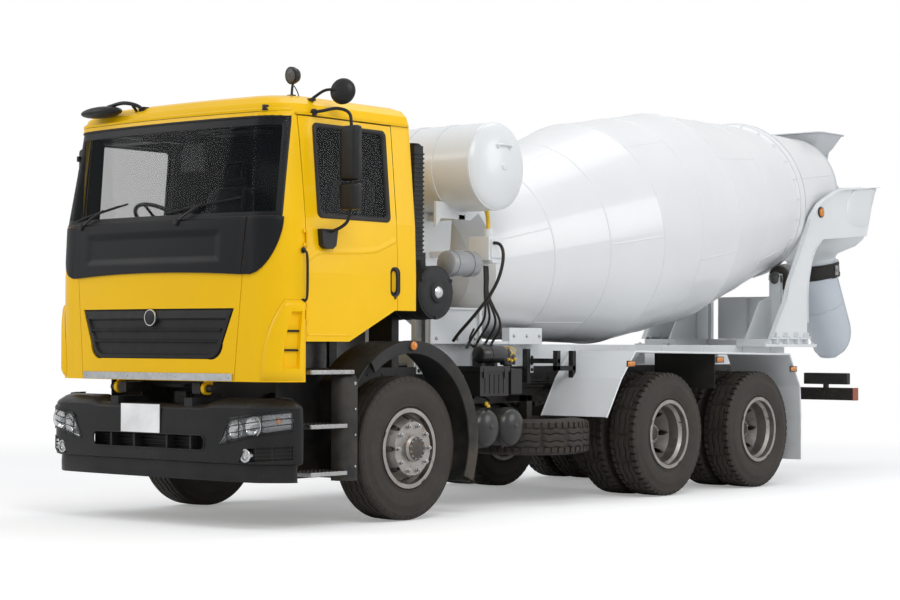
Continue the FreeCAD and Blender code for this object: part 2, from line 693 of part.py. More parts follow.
def cab():
    wide = s.cab_half_width + 100
    deep = s.cab_half_width - 200
    outer = cab_form("CabOuter", 0, s.cab_bottom, s.cab_roof)
    inner = cab_form("CabInner", s.cab_wall, s.cab_bottom - 20, s.cab_roof - s.cab_wall)
    shell = cut(outer, inner)
    gap = s.seam
    # the side walls stop over the wheel arch
    under = prism("YZ_Plane", [
        (s.door_front_y - gap, 900), (s.cab_rear_y + 100, 900),
        (s.cab_rear_y + 100, s.door_rear_bottom), (s.door_rise_rear_y, s.door_rear_bottom),
        (s.door_rise_front_y, s.door_bottom), (s.door_front_y - gap, s.door_bottom)],
        -wide, wide)
    shell = cut(shell, under)
    # floor: low in front, raised over the wheels, with a tunnel for the engine
    plate = prism("YZ_Plane", [
        (s.cab_front_y + 90, s.door_bottom), (s.door_rise_front_y, s.door_bottom),
        (s.door_rise_rear_y, s.door_rear_bottom + 36), (s.cab_rear_y - 20, s.door_rear_bottom + 36),
        (s.cab_rear_y - 20, s.floor_rear_top), (s.door_rise_rear_y - 20, s.floor_rear_top),
        (s.door_rise_front_y - 20, s.floor_top), (s.cab_front_y + 90, s.floor_top)],
        -wide, wide)
    floor = common(plate, cab_form("FloorTrim", s.cab_wall - 1, s.cab_bottom, s.cab_roof))
    tunnel_out = box(-390, 390, s.engine_front_y - 110, s.cab_rear_y - 20, s.door_bottom, 1570)
    tunnel_in = box(-360, 360, s.engine_front_y - 80, s.cab_rear_y + 90, 1200, 1540)
    doors = prism("YZ_Plane", side_outline(gap), -wide, wide)
    sill = s.cab_half_width - s.cab_wall - gap
    floor = cut(floor, cut(doors, box(-sill, sill, -2000, 500, 900, 3100)))
    lid_seam = cut(lid_prism(gap), cab_form("LidSeam", s.cab_wall + gap, s.cab_bottom - 20,
                                            s.cab_roof))
    floor = cut(fuse(cut(floor, lid_seam), tunnel_out), tunnel_in)
    door_cut = cut(doors, box(-deep, deep, -2000, 500, 900, 3100))
    screen = prism("XZ_Plane", screen_outline(), -1600, s.door_front_y - 30)
    # the lid under the screen is a panel of its own
    lid = common(cut(outer, inner), lid_prism(0))
    shell = cut(shell, door_cut, screen, lid_prism(gap))
    ear = box(s.rail_outer_x + 15, s.rail_outer_x + 45, s.tilt_pin_y - 15, s.tilt_pin_y + 45,
              s.tilt_pin_z, s.door_bottom + 10)
    ear_eye = rod("X", 45, (s.rail_outer_x + 15, s.tilt_pin_y, s.tilt_pin_z), 30)
    ear_bore = rod("X", s.tilt_pin_radius + s.bearing_gap,
                   (s.rail_outer_x - 20, s.tilt_pin_y, s.tilt_pin_z), 100)
    ear = cut(fuse(ear, ear_eye), ear_bore)
    hinge_clear = [rod("Z", s.hinge_radius + gap / 2, (s.hinge_x, s.hinge_y, z - gap / 2),
                       s.hinge_height + gap) for z in (s.low_hinge, s.high_hinge)]
    posts = [door_post(z) for z in (s.low_hinge, s.high_hinge)]
    shell = cut(shell, *hinge_clear, *[mirrored(piece) for piece in hinge_clear])
    node("cab_shell", fuse(shell, floor, ear, mirrored(ear), *posts,
                           *[mirrored(post) for post in posts]))
    node("cab_front_panel", cut(lid, grille_prism()))
    grille_slab = common(cut(cab_form("GrilleOuter", 15, s.cab_bottom, s.cab_roof),
                             cab_form("GrilleInner", 45, s.cab_bottom - 20, s.cab_roof - 45)),
                         grille_prism())
    node("grille", grille_slab)
    pane = cut(cab_form("PaneOuter", s.glass_inset, s.cab_bottom, s.cab_roof),
               cab_form("PaneInner", s.glass_inset + s.glass_thickness, s.cab_bottom - 20,
                        s.cab_roof - 20))
    node("windscreen", common(pane, prism("XZ_Plane", screen_outline(), -1600,
                                          s.door_front_y - 30)))
    door_form = common(cut(outer, inner), prism("YZ_Plane", side_outline(0), deep, wide))
    window = prism("YZ_Plane", window_outline(0), deep, wide)
    post_clear = [rod("Z", s.hinge_radius + gap / 2,
                      (s.hinge_x, s.hinge_y, z - s.hinge_end - gap / 2),
                      s.hinge_height + 2 * s.hinge_end + gap)
                  for z in (s.low_hinge, s.high_hinge)]
    knuckles_bored = [door_knuckle(z) for z in (s.low_hinge, s.high_hinge)]
    left_door = fuse(cut(door_form, window, *post_clear), *knuckles_bored)
    left_glass = common(pane, prism("YZ_Plane", window_outline(0), deep, wide))
    node("door_left", left_door)
    node("door_right", mirrored(left_door))
    node("door_glass_left", left_glass)
    node("door_glass_right", mirrored(left_glass))


def door_post(low):
    """Two lugs of the cab's pillar with the hinge pin between them."""
    x, y = s.hinge_x, s.hinge_y
    pieces = [rod("Z", s.hinge_pin, (x, y, low - s.hinge_end), s.hinge_height + 2 * s.hinge_end)]
    for z in (low - s.hinge_end, low + s.hinge_height + s.fit_gap):
        pieces.append(rod("Z", s.hinge_radius, (x, y, z), s.hinge_end - s.fit_gap))
        pieces.append(box(x - 30, x, y - s.hinge_radius - 20, y, z, z + s.hinge_end - s.fit_gap))
    return fuse(*pieces)


def door_knuckle(low):
    """The door's eye that turns on the hinge pin."""
    x, y = s.hinge_x, s.hinge_y
    eye = fuse(rod("Z", s.hinge_radius, (x, y, low), s.hinge_height),
               box(x - 25, x, y, y + s.hinge_radius + 20, low, low + s.hinge_height))
    return cut(eye, rod("Z", s.hinge_pin + s.bearing_gap, (x, y, low - 1), s.hinge_height + 2))


def cab_interior():
    """Two seats, the dashboard and the steering wheel."""
    floor = s.floor_rear_top
    seats = []
    for x in (-620, 620):
        base = box(x - 230, x + 230, -560, -120, floor, 1760)
        foot = box(x - 200, x + 200, -560, -400, s.floor_top + 200, 1700)
        cushion = box(x - 250, x + 250, -640, -120, 1760, 1880)
        back = prism("YZ_Plane", [(-200, 1800), (-100, 1800), (10, 2500), (-70, 2500)],
                     x - 240, x + 240)
        seats.append(fuse(base, foot, cushion, back))
    board = prism("YZ_Plane", [
        (s.cab_front_y, s.floor_top), (-1120, s.floor_top), (-1060, 1700), (-1000, 1900),
        (-1020, 2060), (s.cab_front_y, 2080)], -1100, 1100)
    board = common(board, cab_form("BoardTrim", s.cab_wall + s.fit_gap, s.cab_bottom,
                                   s.cab_roof))
    lean = 35
    hub_y, hub_z = -830, 2170
    column_length = 450
    wheel = doc.addObject("Part::Torus", "SteeringWheel")
    wheel.Radius1 = 225
    wheel.Radius2 = 16
    wheel.Placement = Placement(Vector(-560, hub_y, hub_z), Rotation(Vector(1, 0, 0), -lean))
    spoke = rod("X", 12, (-560 - 225, hub_y, hub_z), 450)
    column = doc.addObject("Part::Cylinder", "Column")
    column.Radius = 28
    column.Height = column_length
    foot_y = hub_y - column_length * math.sin(math.radians(lean))
    foot_z = hub_z - column_length * math.cos(math.radians(lean))
    column.Placement = Placement(Vector(-560, foot_y, foot_z), Rotation(Vector(1, 0, 0), -lean))
    node("cab_interior", group(fuse(board, column, wheel, spoke), *seats))


def mirror_pieces():
    """Two-glass mirror on its tubular arm, fixed to the door."""
    post = rod("Z", 14, (1370, -860, 1975), 862)
    low = rod("X", 14, (1184, -860, 1990), 186)
    high = rod("X", 14, (1118.3, -860, 2810), 251.7)
    big = box(1290, 1460, -905, -845, 2370, 2755)
    small = box(1290, 1460, -905, -845, 2160, 2345)
    return fuse(post, low, high, big, small)


def mirrors():
    arm = mirror_pieces()
    node("mirror_left", arm)
    node("mirror_right", mirrored(arm))


# ---------------------------------------------------------------- front end

def front_bumper():
    """Channel bumper with swept corners, a cooling slot and pockets for the lamps."""
    half = s.bumper_half_width
    front = s.bumper_front_y
    rear = s.bumper_rear_y
    wall = s.bumper_wall
    corner = s.bumper_corner
    strip = prism("XY_Plane", [
        (-half, rear), (-half, front + corner), (-half + corner, front + 30), (-600, front),
        (600, front), (half - corner, front + 30), (half, front + corner), (half, rear),
        (half - wall, rear), (half - wall, front + corner + 20),
        (half - corner - 20, front + 30 + wall), (600, front + wall), (-600, front + wall),
        (-half + corner + 20, front + 30 + wall), (-half + wall, front + corner + 20),
        (-half + wall, rear)], s.bumper_bottom, s.bumper_top)
    slot = box(-s.slot_half_width, s.slot_half_width, front - 50, front + 200, s.slot_bottom,
               s.slot_top)
    pocket = lamp_region()
    arm = box(s.rail_outer_x - s.rail_flange, s.rail_outer_x, front + wall - 20, s.rail_front_y,
              s.rail_bottom + 20, s.rail_bottom + 100)
    bumper = cut(strip, slot, pocket, mirrored(pocket))
    node("front_bumper", fuse(bumper, arm, mirrored(arm)))
    lamp = common(strip, pocket)
    node("headlights", both_sides(lamp))


def lamp_region():
    half = s.bumper_half_width
    front = s.bumper_front_y
    depth = s.lamp_depth
    corner = s.bumper_corner
    return prism("XY_Plane", [
        (s.lamp_inner_x, front - 50), (half + 50, front - 50), (half + 50, front + corner + 10),
        (half - depth, front + corner + 10), (half - corner - 15, front + 30 + depth),
        (s.lamp_inner_x, front + 8 + depth)], s.lamp_bottom, s.lamp_top)


def front_mudguards():
    """Arch over the steered wheel with the steps up to the door ahead of it."""
    x0 = s.guard_inner_x
    x1 = s.guard_outer_x
    width = x1 - x0
    radius = s.guard_radius
    wall = s.guard_wall
    disc = rod("X", radius, (x0, s.guard_y, s.guard_z), width)
    hollow = rod("X", radius - wall, (x0 - 10, s.guard_y, s.guard_z), width + 20)
    keep = prism("YZ_Plane", [
        (s.guard_front_y, 980), (s.guard_y, s.guard_z), (680, 235), (900, 235),
        (900, 1400), (s.guard_front_y, 1400)], x0 - 5, x1 + 5)
    arch = common(cut(disc, hollow), keep)
    front = box(x0, x1, s.guard_front_y, s.guard_front_y + wall, s.low_step - 60, 1010)
    back = box(x0, x0 + wall, s.step_front_y, s.guard_front_y + wall, s.low_step - 60,
               s.top_step)
    treads = [box(x0, x1, s.step_front_y, s.guard_front_y, top - s.step_thickness, top)
              for top in (s.low_step, s.mid_step, s.top_step)]
    stay = box(s.rail_outer_x, x0 + wall, s.guard_front_y - 60, s.guard_front_y, 860, 920)
    rear_stay = box(s.rail_outer_x, x0 + wall, 625, 665, 800, 850)
    node("front_mudguards", both_sides(fuse(arch, front, back, stay, rear_stay, *treads)))


# ---------------------------------------------------------------- drum and its supports

def along_drum(station):
    """Truck (y, z) of a point on the drum's axis."""
    return (s.drum_y + station * cosine(s.drum_tilt), s.drum_z + station * sine(s.drum_tilt))


def tilt_with_drum(piece, station=0, x=0, y=0, z=0):
    """Lay a piece drawn about the Y axis along the drum's axis."""
    piece.Placement = Placement(Vector(), Rotation(Vector(1, 0, 0), SIZES["drum_tilt"]))
    set_size(piece, "Placement.Rotation.Angle", s.drum_tilt)
    centre_y, centre_z = along_drum(as_size(station))
    return move(piece, x, centre_y + y, centre_z + z)


def drum_stations():
    """(station, outer radius) from the drive flange to the mouth."""
    end = s.front_cone + s.drum_cylinder + s.rear_cone + s.mouth_cone
    return [(-s.dish_depth, s.drive_flange), (-s.dish_depth + 60, s.drum_front_radius - 180),
            (0, s.drum_front_radius), (s.front_cone, s.drum_radius),
            (s.front_cone + s.drum_cylinder, s.drum_radius),
            (end - s.mouth_cone, s.drum_ring_radius), (end, s.drum_mouth_radius)]


def drum():
    """Revolved shell: dished head, front cone, cylinder, rear cone, mouth, with a track ring."""
    stations = drum_stations()
    wall = s.drum_wall
    body = new_body("DrumShell")
    sketch = sketch_on(body, "XY_Plane")
    inside = [(radius - wall, y) for y, radius in reversed(stations[2:])]
    inside += [(s.drum_front_radius - 180 - wall, -s.dish_depth + 60 + wall),
               (s.drive_flange, -s.dish_depth + wall), (0, -s.dish_depth + wall)]
    start = -s.dish_depth
    draw(sketch, (0, start - 120), (s.shaft_radius, start - 120), (s.shaft_radius, start - 30),
         (s.drive_flange, start - 30),
         *[(radius, y) for y, radius in stations], *inside)
    revolve(body, sketch, "Y_Axis")
    ring_at = stations[5][0]
    ring = new_body("TrackRing")
    draw(sketch_on(ring, "XY_Plane"),
         (s.drum_ring_radius - 4, ring_at - s.track_width / 2),
         (s.track_radius, ring_at - s.track_width / 2),
         (s.track_radius, ring_at + s.track_width / 2),
         (s.drum_ring_radius - 14, ring_at + s.track_width / 2))
    revolve(ring, ring.Group[0], "Y_Axis")
    whole = fuse(body, ring, name="DrumWithRing")
    tilt_with_drum(whole)
    node("drum_shell", whole)


def ring_station():
    return s.front_cone + s.drum_cylinder + s.rear_cone


def from_mouth(back, up):
    """Truck (y, z) of a point behind and above the middle of the drum's mouth."""
    mouth_y, mouth_z = along_drum(ring_station() + s.mouth_cone)
    return mouth_y + back, mouth_z + up


def rollers():
    """Two support rollers under the track ring, turning on fixed shafts."""
    reach = s.track_radius + s.roller_radius + s.roller_gap
    across = reach * sine(s.roller_angle)
    below = reach * cosine(s.roller_angle)
    for side, sign in (("left", 1), ("right", -1)):
        body = new_body("Roller")
        half = s.roller_width / 2
        bore = 30 + s.bearing_gap
        draw(sketch_on(body, "XY_Plane"), (bore, -half), (s.roller_radius, -half),
             (s.roller_radius, half), (bore, half))
        revolve(body, body.Group[0], "Y_Axis")
        tilt_with_drum(body, ring_station(), sign * across, below * sine(s.drum_tilt),
                       -below * cosine(s.drum_tilt))
        node(f"roller_{side}", body)


def rear_pedestal():
    """Pedestal with roller bearings, and the arms that carry the hopper and the collector."""
    base = s.subframe_top
    x0 = s.arm_x
    x1 = s.arm_x + s.arm_wall
    rear_edge = [(-888, -918), (-748, -637), (-598, -553), (282, -483), (387, -188)]
    front_edge = [(492, 29), (-313, -48), (-518, -113), (-723, -203), (-878, -338),
                  (-998, -533), (-1133, -743), (-1298, -993)]
    upper = [from_mouth(back, up) for back, up in rear_edge + front_edge]
    ring_y, _ = along_drum(ring_station())
    front = ring_y - 528
    rear = ring_y + 192
    arm = prism("YZ_Plane", [(front, base + 60), (rear, base + 60), (rear, 1800), *upper,
                             (front + 260, 1700)], x0, x1)
    foot = box(s.rail_outer_x - 70, x1, front, rear, base, base + 60)
    gusset = prism("YZ_Plane", [(front - 20, base), (rear, base), (rear, 1700),
                                (rear - 240, 1760), (front + 280, 1700)], 430, 445)
    side = fuse(arm, foot, gusset)
    reach = s.track_radius + s.roller_radius + s.roller_gap
    across = reach * sine(s.roller_angle)
    below = reach * cosine(s.roller_angle)
    shaft = rod("Y", 30, (0, 0, 0), 0)
    set_size(shaft, "Height", s.roller_width + 160)
    shaft.Placement = Placement(Vector(), Rotation(Vector(-1, 0, 0), 90 - SIZES["drum_tilt"]))
    set_size(shaft, "Placement.Rotation.Angle", 90 - s.drum_tilt)
    centre_y, centre_z = along_drum(ring_station() - s.roller_width / 2 - 80)
    move(shaft, across, centre_y + below * sine(s.drum_tilt),
         centre_z - below * cosine(s.drum_tilt))
    level = centre_z - below * cosine(s.drum_tilt)
    start = centre_y + below * sine(s.drum_tilt)
    front_ear = box(across - 60, across + 60, start - 20, start + 30, base, level + 50)
    rear_ear = box(across - 60, across + 60, start + s.roller_width + 125,
                   start + s.roller_width + 175, base, level + 70)
    deck = box(across - 60, across + 60, start - 20, start + s.roller_width + 175, base,
               base + 60)
    left = fuse(side, front_ear, rear_ear, deck, shaft)
    tie = box(-x1, x1, rear - 140, rear, base, base + 60)
    tip = rear + 1040
    chute_arm = prism("YZ_Plane", [(rear, base), (rear, 1500), (tip, 1500), (tip, 1600),
                                   (rear, 1740), (rear - 60, 1740), (rear - 60, base)], -60, 60)
    node("rear_pedestal", fuse(left, mirrored(left), tie, chute_arm))


def front_pedestal():
    """Stand for the drum's gear drive and for the water tank."""
    base = s.subframe_top
    left = box(300, 340, 1010, 1420, base, 1600)
    cross = box(-340, 340, 1010, 1420, 1600, 1640)
    mast = box(300, 340, 1060, 1310, 1640, s.tank_z - s.tank_radius + 60)
    foot = box(300, s.rail_outer_x, 1010, 1420, base, base + 40)
    tank = rod("X", s.tank_radius, (-s.tank_half_length, s.tank_y, s.tank_z),
               2 * s.tank_half_length)
    stand = fuse(left, mirrored(left), cross, mast, mirrored(mast), foot, mirrored(foot))
    node("front_pedestal", cut(stand, tank))


def drum_drive():
    """Planetary gearbox and hydraulic motor."""
    start = -s.dish_depth
    body = new_body("GearDrive")
    draw(sketch_on(body, "XY_Plane"),
         (s.shaft_radius + s.bearing_gap, start - 40), (180, start - 40), (180, start - 170),
         (215, start - 170), (215, start - 210), (150, start - 230), (150, start - 330),
         (0, start - 330), (0, start - 130), (s.shaft_radius + s.bearing_gap, start - 130))
    revolve(body, body.Group[0], "Y_Axis")
    tilt_with_drum(body)
    top_y, top_z = along_drum(as_size(start) - 190)
    seat = box(-200, 200, top_y - 60, top_y + 60, 1640, top_z - 120)
    node("drum_drive", fuse(body, seat))


def hopper():
    """Open funnel into the drum's mouth, on a cross beam between the arms."""
    beam_y, beam_z = from_mouth(232, -53)
    legs = [box(x - 20, x + 20, beam_y + 10, beam_y + 50, beam_z + 40, beam_z + 395)
            for x in (-150, 150)]
    beam = box(-s.arm_x, s.arm_x, beam_y, beam_y + 60, beam_z, beam_z + 50)
    node("hopper", cut(fuse(hopper_form(0), beam, *legs), hopper_form(s.sheet_metal)))


def hopper_form(inset):
    """The funnel's outer form, or its hollow when drawn in by an inset."""
    inset = as_size(inset)
    body = new_body("HopperForm")
    half = s.throat_half_width - inset
    sections = []
    for wide, up, ahead, behind in (
            (s.hopper_half_width - inset, s.hopper_above + inset, s.hopper_ahead, s.hopper_behind),
            (half, as_size(237), as_size(8), as_size(202)),
            (half, 17 - inset, as_size(128), as_size(42))):
        front_y, level = from_mouth(inset - ahead, up)
        rear_y, _ = from_mouth(behind - inset, up)
        sections.append(rectangle_sketch(body, level, wide, front_y, rear_y))
    return loft(body, *sections)


def rectangle_sketch(body, height, half, front, rear):
    sketch = sketch_on(body, "XY_Plane", height)
    return draw(sketch, (-half, front), (half, front), (half, rear), (-half, rear))


def loft(body, *sections):
    """Straight-sided loft through sketches."""
    feature = body.newObject("PartDesign::AdditiveLoft", "Loft")
    feature.Profile = sections[0]
    feature.Sections = list(sections[1:])
    feature.Ruled = True
    return body


def spout_point(drop):
    """Truck (y, z) of a point on the chute's swing axis, a distance below the spout's lip."""
    return from_mouth(s.spout_behind + drop * sine(s.spout_tilt),
                      -s.spout_below - drop * cosine(s.spout_tilt))


def spout_tube(radius, above, below, name="SpoutTube"):
    """A cylinder on the swing axis, between two distances from the spout's lip."""
    tube = doc.addObject("Part::Cylinder", name)
    set_size(tube, "Radius", radius)
    set_size(tube, "Height", as_size(above) + below)
    tube.Placement = Placement(Vector(), Rotation(Vector(1, 0, 0), SIZES["spout_tilt"]))
    set_size(tube, "Placement.Rotation.Angle", s.spout_tilt)
    return move(tube, 0, *spout_point(as_size(below)))


def collector():
    """Shroud between the arms that gathers the concrete into the round spout."""
    radius = s.spout_radius
    outer = fuse(collector_form(0), spout_tube(radius, 130, 0),
                 spout_tube(radius + s.lip_width, s.lip_height, 0))
    hollow = fuse(collector_form(s.sheet_metal), spout_tube(radius - s.sheet_metal, 140, 10))
    node("collector", cut(outer, hollow))


def collector_form(inset):
    """The shroud's outer form, or its hollow when drawn in by an inset."""
    inset = as_size(inset)
    body = new_body("CollectorForm")
    side = s.arm_x - s.fit_gap - inset
    front_y, level = from_mouth(82 + inset, inset - 143)
    rear_y, _ = from_mouth(482 - inset, 0)
    top = rectangle_sketch(body, level, side, front_y, rear_y)
    ring = sketch_on(body, "XY_Plane", 0)
    ring.AttachmentOffset = Placement(Vector(), Rotation(Vector(1, 0, 0), SIZES["spout_tilt"]))
    set_size(ring, "AttachmentOffset.Rotation.Angle", s.spout_tilt)
    ring_y, ring_z = spout_point(-100)
    set_size(ring, "AttachmentOffset.Base.y", ring_y)
    set_size(ring, "AttachmentOffset.Base.z", ring_z)
    radius = s.spout_radius - inset
    corner = radius * math.sqrt(0.5)
    draw(ring, (-corner, -corner, radius), (corner, -corner, radius), (corner, corner, radius),
         (-corner, corner, radius))
    return loft(body, top, ring)


def chute():
    """Half-round discharge chute on a ring that turns round the spout's lip."""
    gap = s.part_gap
    wall = s.sheet_metal
    bore = s.spout_radius + s.lip_width + gap
    outer = bore + wall
    collar = spout_tube(outer, s.lip_height + s.fit_gap + wall, s.collar_drop)
    throat = spout_tube(bore, s.lip_height + s.fit_gap, s.collar_drop + 10)
    neck = spout_tube(s.spout_radius + gap, 200, 0)
    trough = trough_tube(outer, s.chute_length, 180)
    hollow = trough_tube(bore, s.chute_length + 100, 360)
    node("chute", cut(cut(cut(fuse(collar, trough), throat), neck), hollow))


def trough_tube(radius, length, angle):
    """A cylinder, or its lower half, down the chute's slope from the foot of the collar."""
    tube = doc.addObject("Part::Cylinder", "TroughTube")
    set_size(tube, "Radius", radius)
    set_size(tube, "Height", length)
    tube.Angle = angle
    tube.Placement = Placement(Vector(), Rotation(Vector(-1, 0, 0), 90 + SIZES["chute_slope"]))
    set_size(tube, "Placement.Rotation.Angle", 90 + s.chute_slope)
    base_y, base_z = spout_point(s.collar_drop)
    lift = 90
    return move(tube, 0, base_y - lift * cosine(s.chute_slope), base_z + lift * sine(s.chute_slope))


# ---------------------------------------------------------------- equipment

def water_tank():
    body = new_body("WaterTank")
    half = s.tank_half_length
    r = s.tank_radius
    draw(sketch_on(body, "XZ_Plane"), (-half - 70, 0), (half + 70, 0), (half + 50, r * 0.6),
         (half, r), (-half, r), (-half - 50, r * 0.6))
    revolve(body, body.Group[0], "X_Axis")
    move(body, 0, s.tank_y, s.tank_z)
    node("water_tank", body)


def air_tanks():
    tanks = []
    for y in (1108, 1415):
        tank = rod("X", s.air_tank_radius, (500, y, 631), 540)
        strap = box(560, 600, as_size(y) - 20, as_size(y) + 20, 631 + s.air_tank_radius - 10, 880)
        arm = box(s.rail_outer_x, 600, as_size(y) - 20, as_size(y) + 20, 840, 880)
        tanks.append(fuse(tank, strap, arm))
    node("air_tanks", group(*tanks))


def fuel_tank():
    tank = box(-1150, -520, 1000, 2150, 520, 1080)
    straps = [box(-540, -s.rail_outer_x, y, y + 60, 850, 950) for y in (1200, 1900)]
    node("fuel_tank", fuse(tank, *straps))


def spare_wheel():
    """Spare wheel lying flat in its carrier beside the rail."""
    core = rod("X", s.bead_radius, (-110, 0, 0), 220)
    wheel = group(fuse(tyre(), core))
    wheel.Placement = Placement(Vector(), Rotation(Vector(0, 1, 0), 90))
    move(wheel, s.spare_x, s.spare_y, s.spare_z)
    hanger = box(s.spare_x - 40, s.spare_x + 40, s.spare_y - 40, s.spare_y + 40,
                 s.spare_z + 90, 860)
    arm = box(s.rail_outer_x, s.spare_x + 40, s.spare_y - 40, s.spare_y + 40, 810, 860)
    node("spare_wheel", fuse(wheel, hanger, arm))


def air_intake():
    """Intake mast behind the cab with the air cleaner at its foot."""
    mast = box(850, 940, 300, 400, 1900, 2750)
    cleaner = rod("X", 200, (520, 480, 1660), 480)
    link = box(800, 900, 300, 480, 1800, 1960)
    bracket = box(s.rail_outer_x - 60, 600, 440, 520, s.rail_top, 1500)
    node("air_intake", fuse(mast, cleaner, link, bracket))


def rear_mudguards():
    """Folded guards over the twin wheels, with rubber flaps."""
    x0 = s.rail_outer_x + 130
    x1 = as_size(1225)
    first = s.mid_axle_y
    last = s.mid_axle_y + s.axle_spacing
    top = [(first - 960, 690), (first - 760, 1000), (first - 557, 1224),
           (last + 479, 1199), (last + 662, 900), (last + 680, 610)]
    inner = [(last + 670, 610), (last + 652, 897), (last + 473, 1189),
             (first - 553, 1214), (first - 752, 994), (first - 950, 690)]
    shell = prism("YZ_Plane", top + inner, x0, x1)
    stays = [box(s.rail_outer_x, x0 + 10, y, y + 60, 1110, top_z)
             for y, top_z in ((first - 420, 1220), (first + 480, 1211), (last + 240, 1199))]
    rear_flap = box(x0, x1, last + 676, last + 688, 223, 640)
    node("rear_mudguards", both_sides(fuse(shell, rear_flap, *stays)))


def underrun_bar():
    bar = box(-1206, 1206, s.rail_rear_y, s.rail_rear_y + 100, 749, 868)
    leg = box(s.rail_outer_x, s.rail_outer_x + 12, 6300, 6500, 760, 1090)
    node("underrun_bar", fuse(bar, leg, mirrored(leg)))


# ---------------------------------------------------------------- build and write

def check_and_write():
    doc.recompute()
    for thing in doc.Objects:
        if "Invalid" in thing.State or "Error" in thing.State:
            users = [user.Label for user in thing.InListRecursive]
            raise RuntimeError(f"{thing.Label}, used by {users}, failed: {thing.State}")
    os.makedirs("parts", exist_ok=True)
    for label, piece in nodes.items():
        shape = piece.Shape
        if shape.isNull() or not shape.isValid() or not shape.Solids:
            raise RuntimeError(f"{label} has no valid solid")
        shape.exportStep(f"parts/{label}.step")


for build in (front_wheels, rear_wheels, front_axle, knuckles, rear_axles, leaf_springs,
              chassis_frame, subframe, engine, drive_line, cab, cab_interior, mirrors,
              front_bumper, front_mudguards, drum, rollers, rear_pedestal, front_pedestal,
              drum_drive, hopper, collector, chute, water_tank, air_tanks, fuel_tank,
              spare_wheel, air_intake, rear_mudguards, underrun_bar):
    build()
check_and_write()
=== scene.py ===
"""Concrete mixer truck: studio scene, materials and fine pieces over the CAD frame."""
import json
import math

import bmesh
import bpy
from mathutils import Matrix, Quaternion, Vector
from mathutils.bvhtree import BVHTree


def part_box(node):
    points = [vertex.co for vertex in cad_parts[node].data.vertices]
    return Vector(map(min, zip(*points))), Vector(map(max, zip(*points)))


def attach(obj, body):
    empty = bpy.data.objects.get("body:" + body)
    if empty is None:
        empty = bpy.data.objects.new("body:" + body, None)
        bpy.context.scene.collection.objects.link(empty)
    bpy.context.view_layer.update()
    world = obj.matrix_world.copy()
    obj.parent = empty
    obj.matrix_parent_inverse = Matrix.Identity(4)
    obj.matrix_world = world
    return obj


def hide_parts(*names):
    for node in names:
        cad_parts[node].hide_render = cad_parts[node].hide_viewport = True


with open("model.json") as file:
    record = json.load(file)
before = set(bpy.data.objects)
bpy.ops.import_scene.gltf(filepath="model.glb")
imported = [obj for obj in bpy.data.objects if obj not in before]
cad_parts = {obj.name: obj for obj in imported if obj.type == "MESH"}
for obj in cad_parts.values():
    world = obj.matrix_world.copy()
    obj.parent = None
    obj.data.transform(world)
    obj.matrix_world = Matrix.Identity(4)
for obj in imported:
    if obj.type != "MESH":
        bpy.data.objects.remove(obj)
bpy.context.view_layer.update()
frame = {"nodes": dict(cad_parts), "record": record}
scene = bpy.context.scene

SIDES = ((1, "left"), (-1, "right"))
TYRE_LOW, TYRE_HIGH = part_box("front_tyre_left")
Y0 = ((TYRE_LOW + TYRE_HIGH) / 2).y
HUB_Z = 522
MID_AXLE, REAR_AXLE = 3320, 4760


def at(x, y, z):
    """Millimetres from the front axle's middle on the ground, as a point in metres."""
    return Vector((x / 1000, Y0 + y / 1000, z / 1000))


def between(low, high, t):
    return low + (high - low) * t


def spread(low, high, n):
    """Even values from low to high, both ends included."""
    return [between(low, high, k / n) for k in range(n + 1)]


def angles(n):
    return [2 * math.pi * k / n for k in range(n)]


def limit(value, low=0, high=1):
    return min(max(value, low), high)


# ------------------------------------------------------------ materials

class Graph:
    """The shader nodes of a material or a world."""

    def __init__(self, owner):
        owner.use_nodes = True
        self.nodes, self.links = owner.node_tree.nodes, owner.node_tree.links

    def add(self, kind, inputs=(), **fields):
        """A new node; inputs are values, or the outputs of other nodes."""
        node = self.nodes.new("ShaderNode" + kind)
        for key, value in fields.items():
            setattr(node, key, value)
        self.feed(node, inputs)
        return node

    def feed(self, node, inputs):
        for key, value in dict(inputs).items():
            socket = node.inputs[key]
            if hasattr(value, "is_output"):
                self.links.new(value, socket)
            else:
                socket.default_value = value

    def math(self, operation, first, second):
        return self.add("Math", {0: first, 1: second}, operation=operation).outputs[0]


class Tree(Graph):
    """A node material with one Principled shader."""

    def __init__(self, name, **sockets):
        self.material = bpy.data.materials.new(name)
        super().__init__(self.material)
        self.shader = self.nodes["Principled BSDF"]
        self.feed(self.shader, {key.replace("_", " "): sockets[key] for key in sockets})
        self.place = self.add("TexCoord").outputs["Object"]

    def noise(self, scale, detail=4.0, roughness=0.55):
        return self.add("TexNoise", {"Vector": self.place, "Scale": scale, "Detail": detail,
                                     "Roughness": roughness}).outputs["Fac"]

    def ramp(self, source, low, high, to_low=0.0, to_high=1.0):
        return self.add("MapRange", {"Value": source, "From Min": low, "From Max": high,
                                     "To Min": to_low, "To Max": to_high}).outputs["Result"]

    def mix(self, factor, first, second):
        node = self.add("Mix", {"Factor": factor, 6: first, 7: second}, data_type="RGBA")
        return node.outputs[2]

    def dusty(self, line, foot, scale, dirt):
        """How much road dust lies here: spots that fade out at a height."""
        height = self.add("SeparateXYZ", {0: self.place}).outputs["Z"]
        low = self.ramp(height, line, foot)
        spots = self.ramp(self.noise(scale, 4.0, 0.5), 0.35, 0.8)
        return self.math("MULTIPLY", self.math("MULTIPLY", low, spots), dirt)

    def colour(self, value):
        self.feed(self.shader, {"Base Color": value})

    def rough(self, value):
        self.feed(self.shader, {"Roughness": value})

    def bump(self, height, strength, distance=0.001):
        node = self.add("Bump", {"Height": height, "Strength": strength, "Distance": distance})
        self.feed(self.shader, {"Normal": node.outputs[0]})


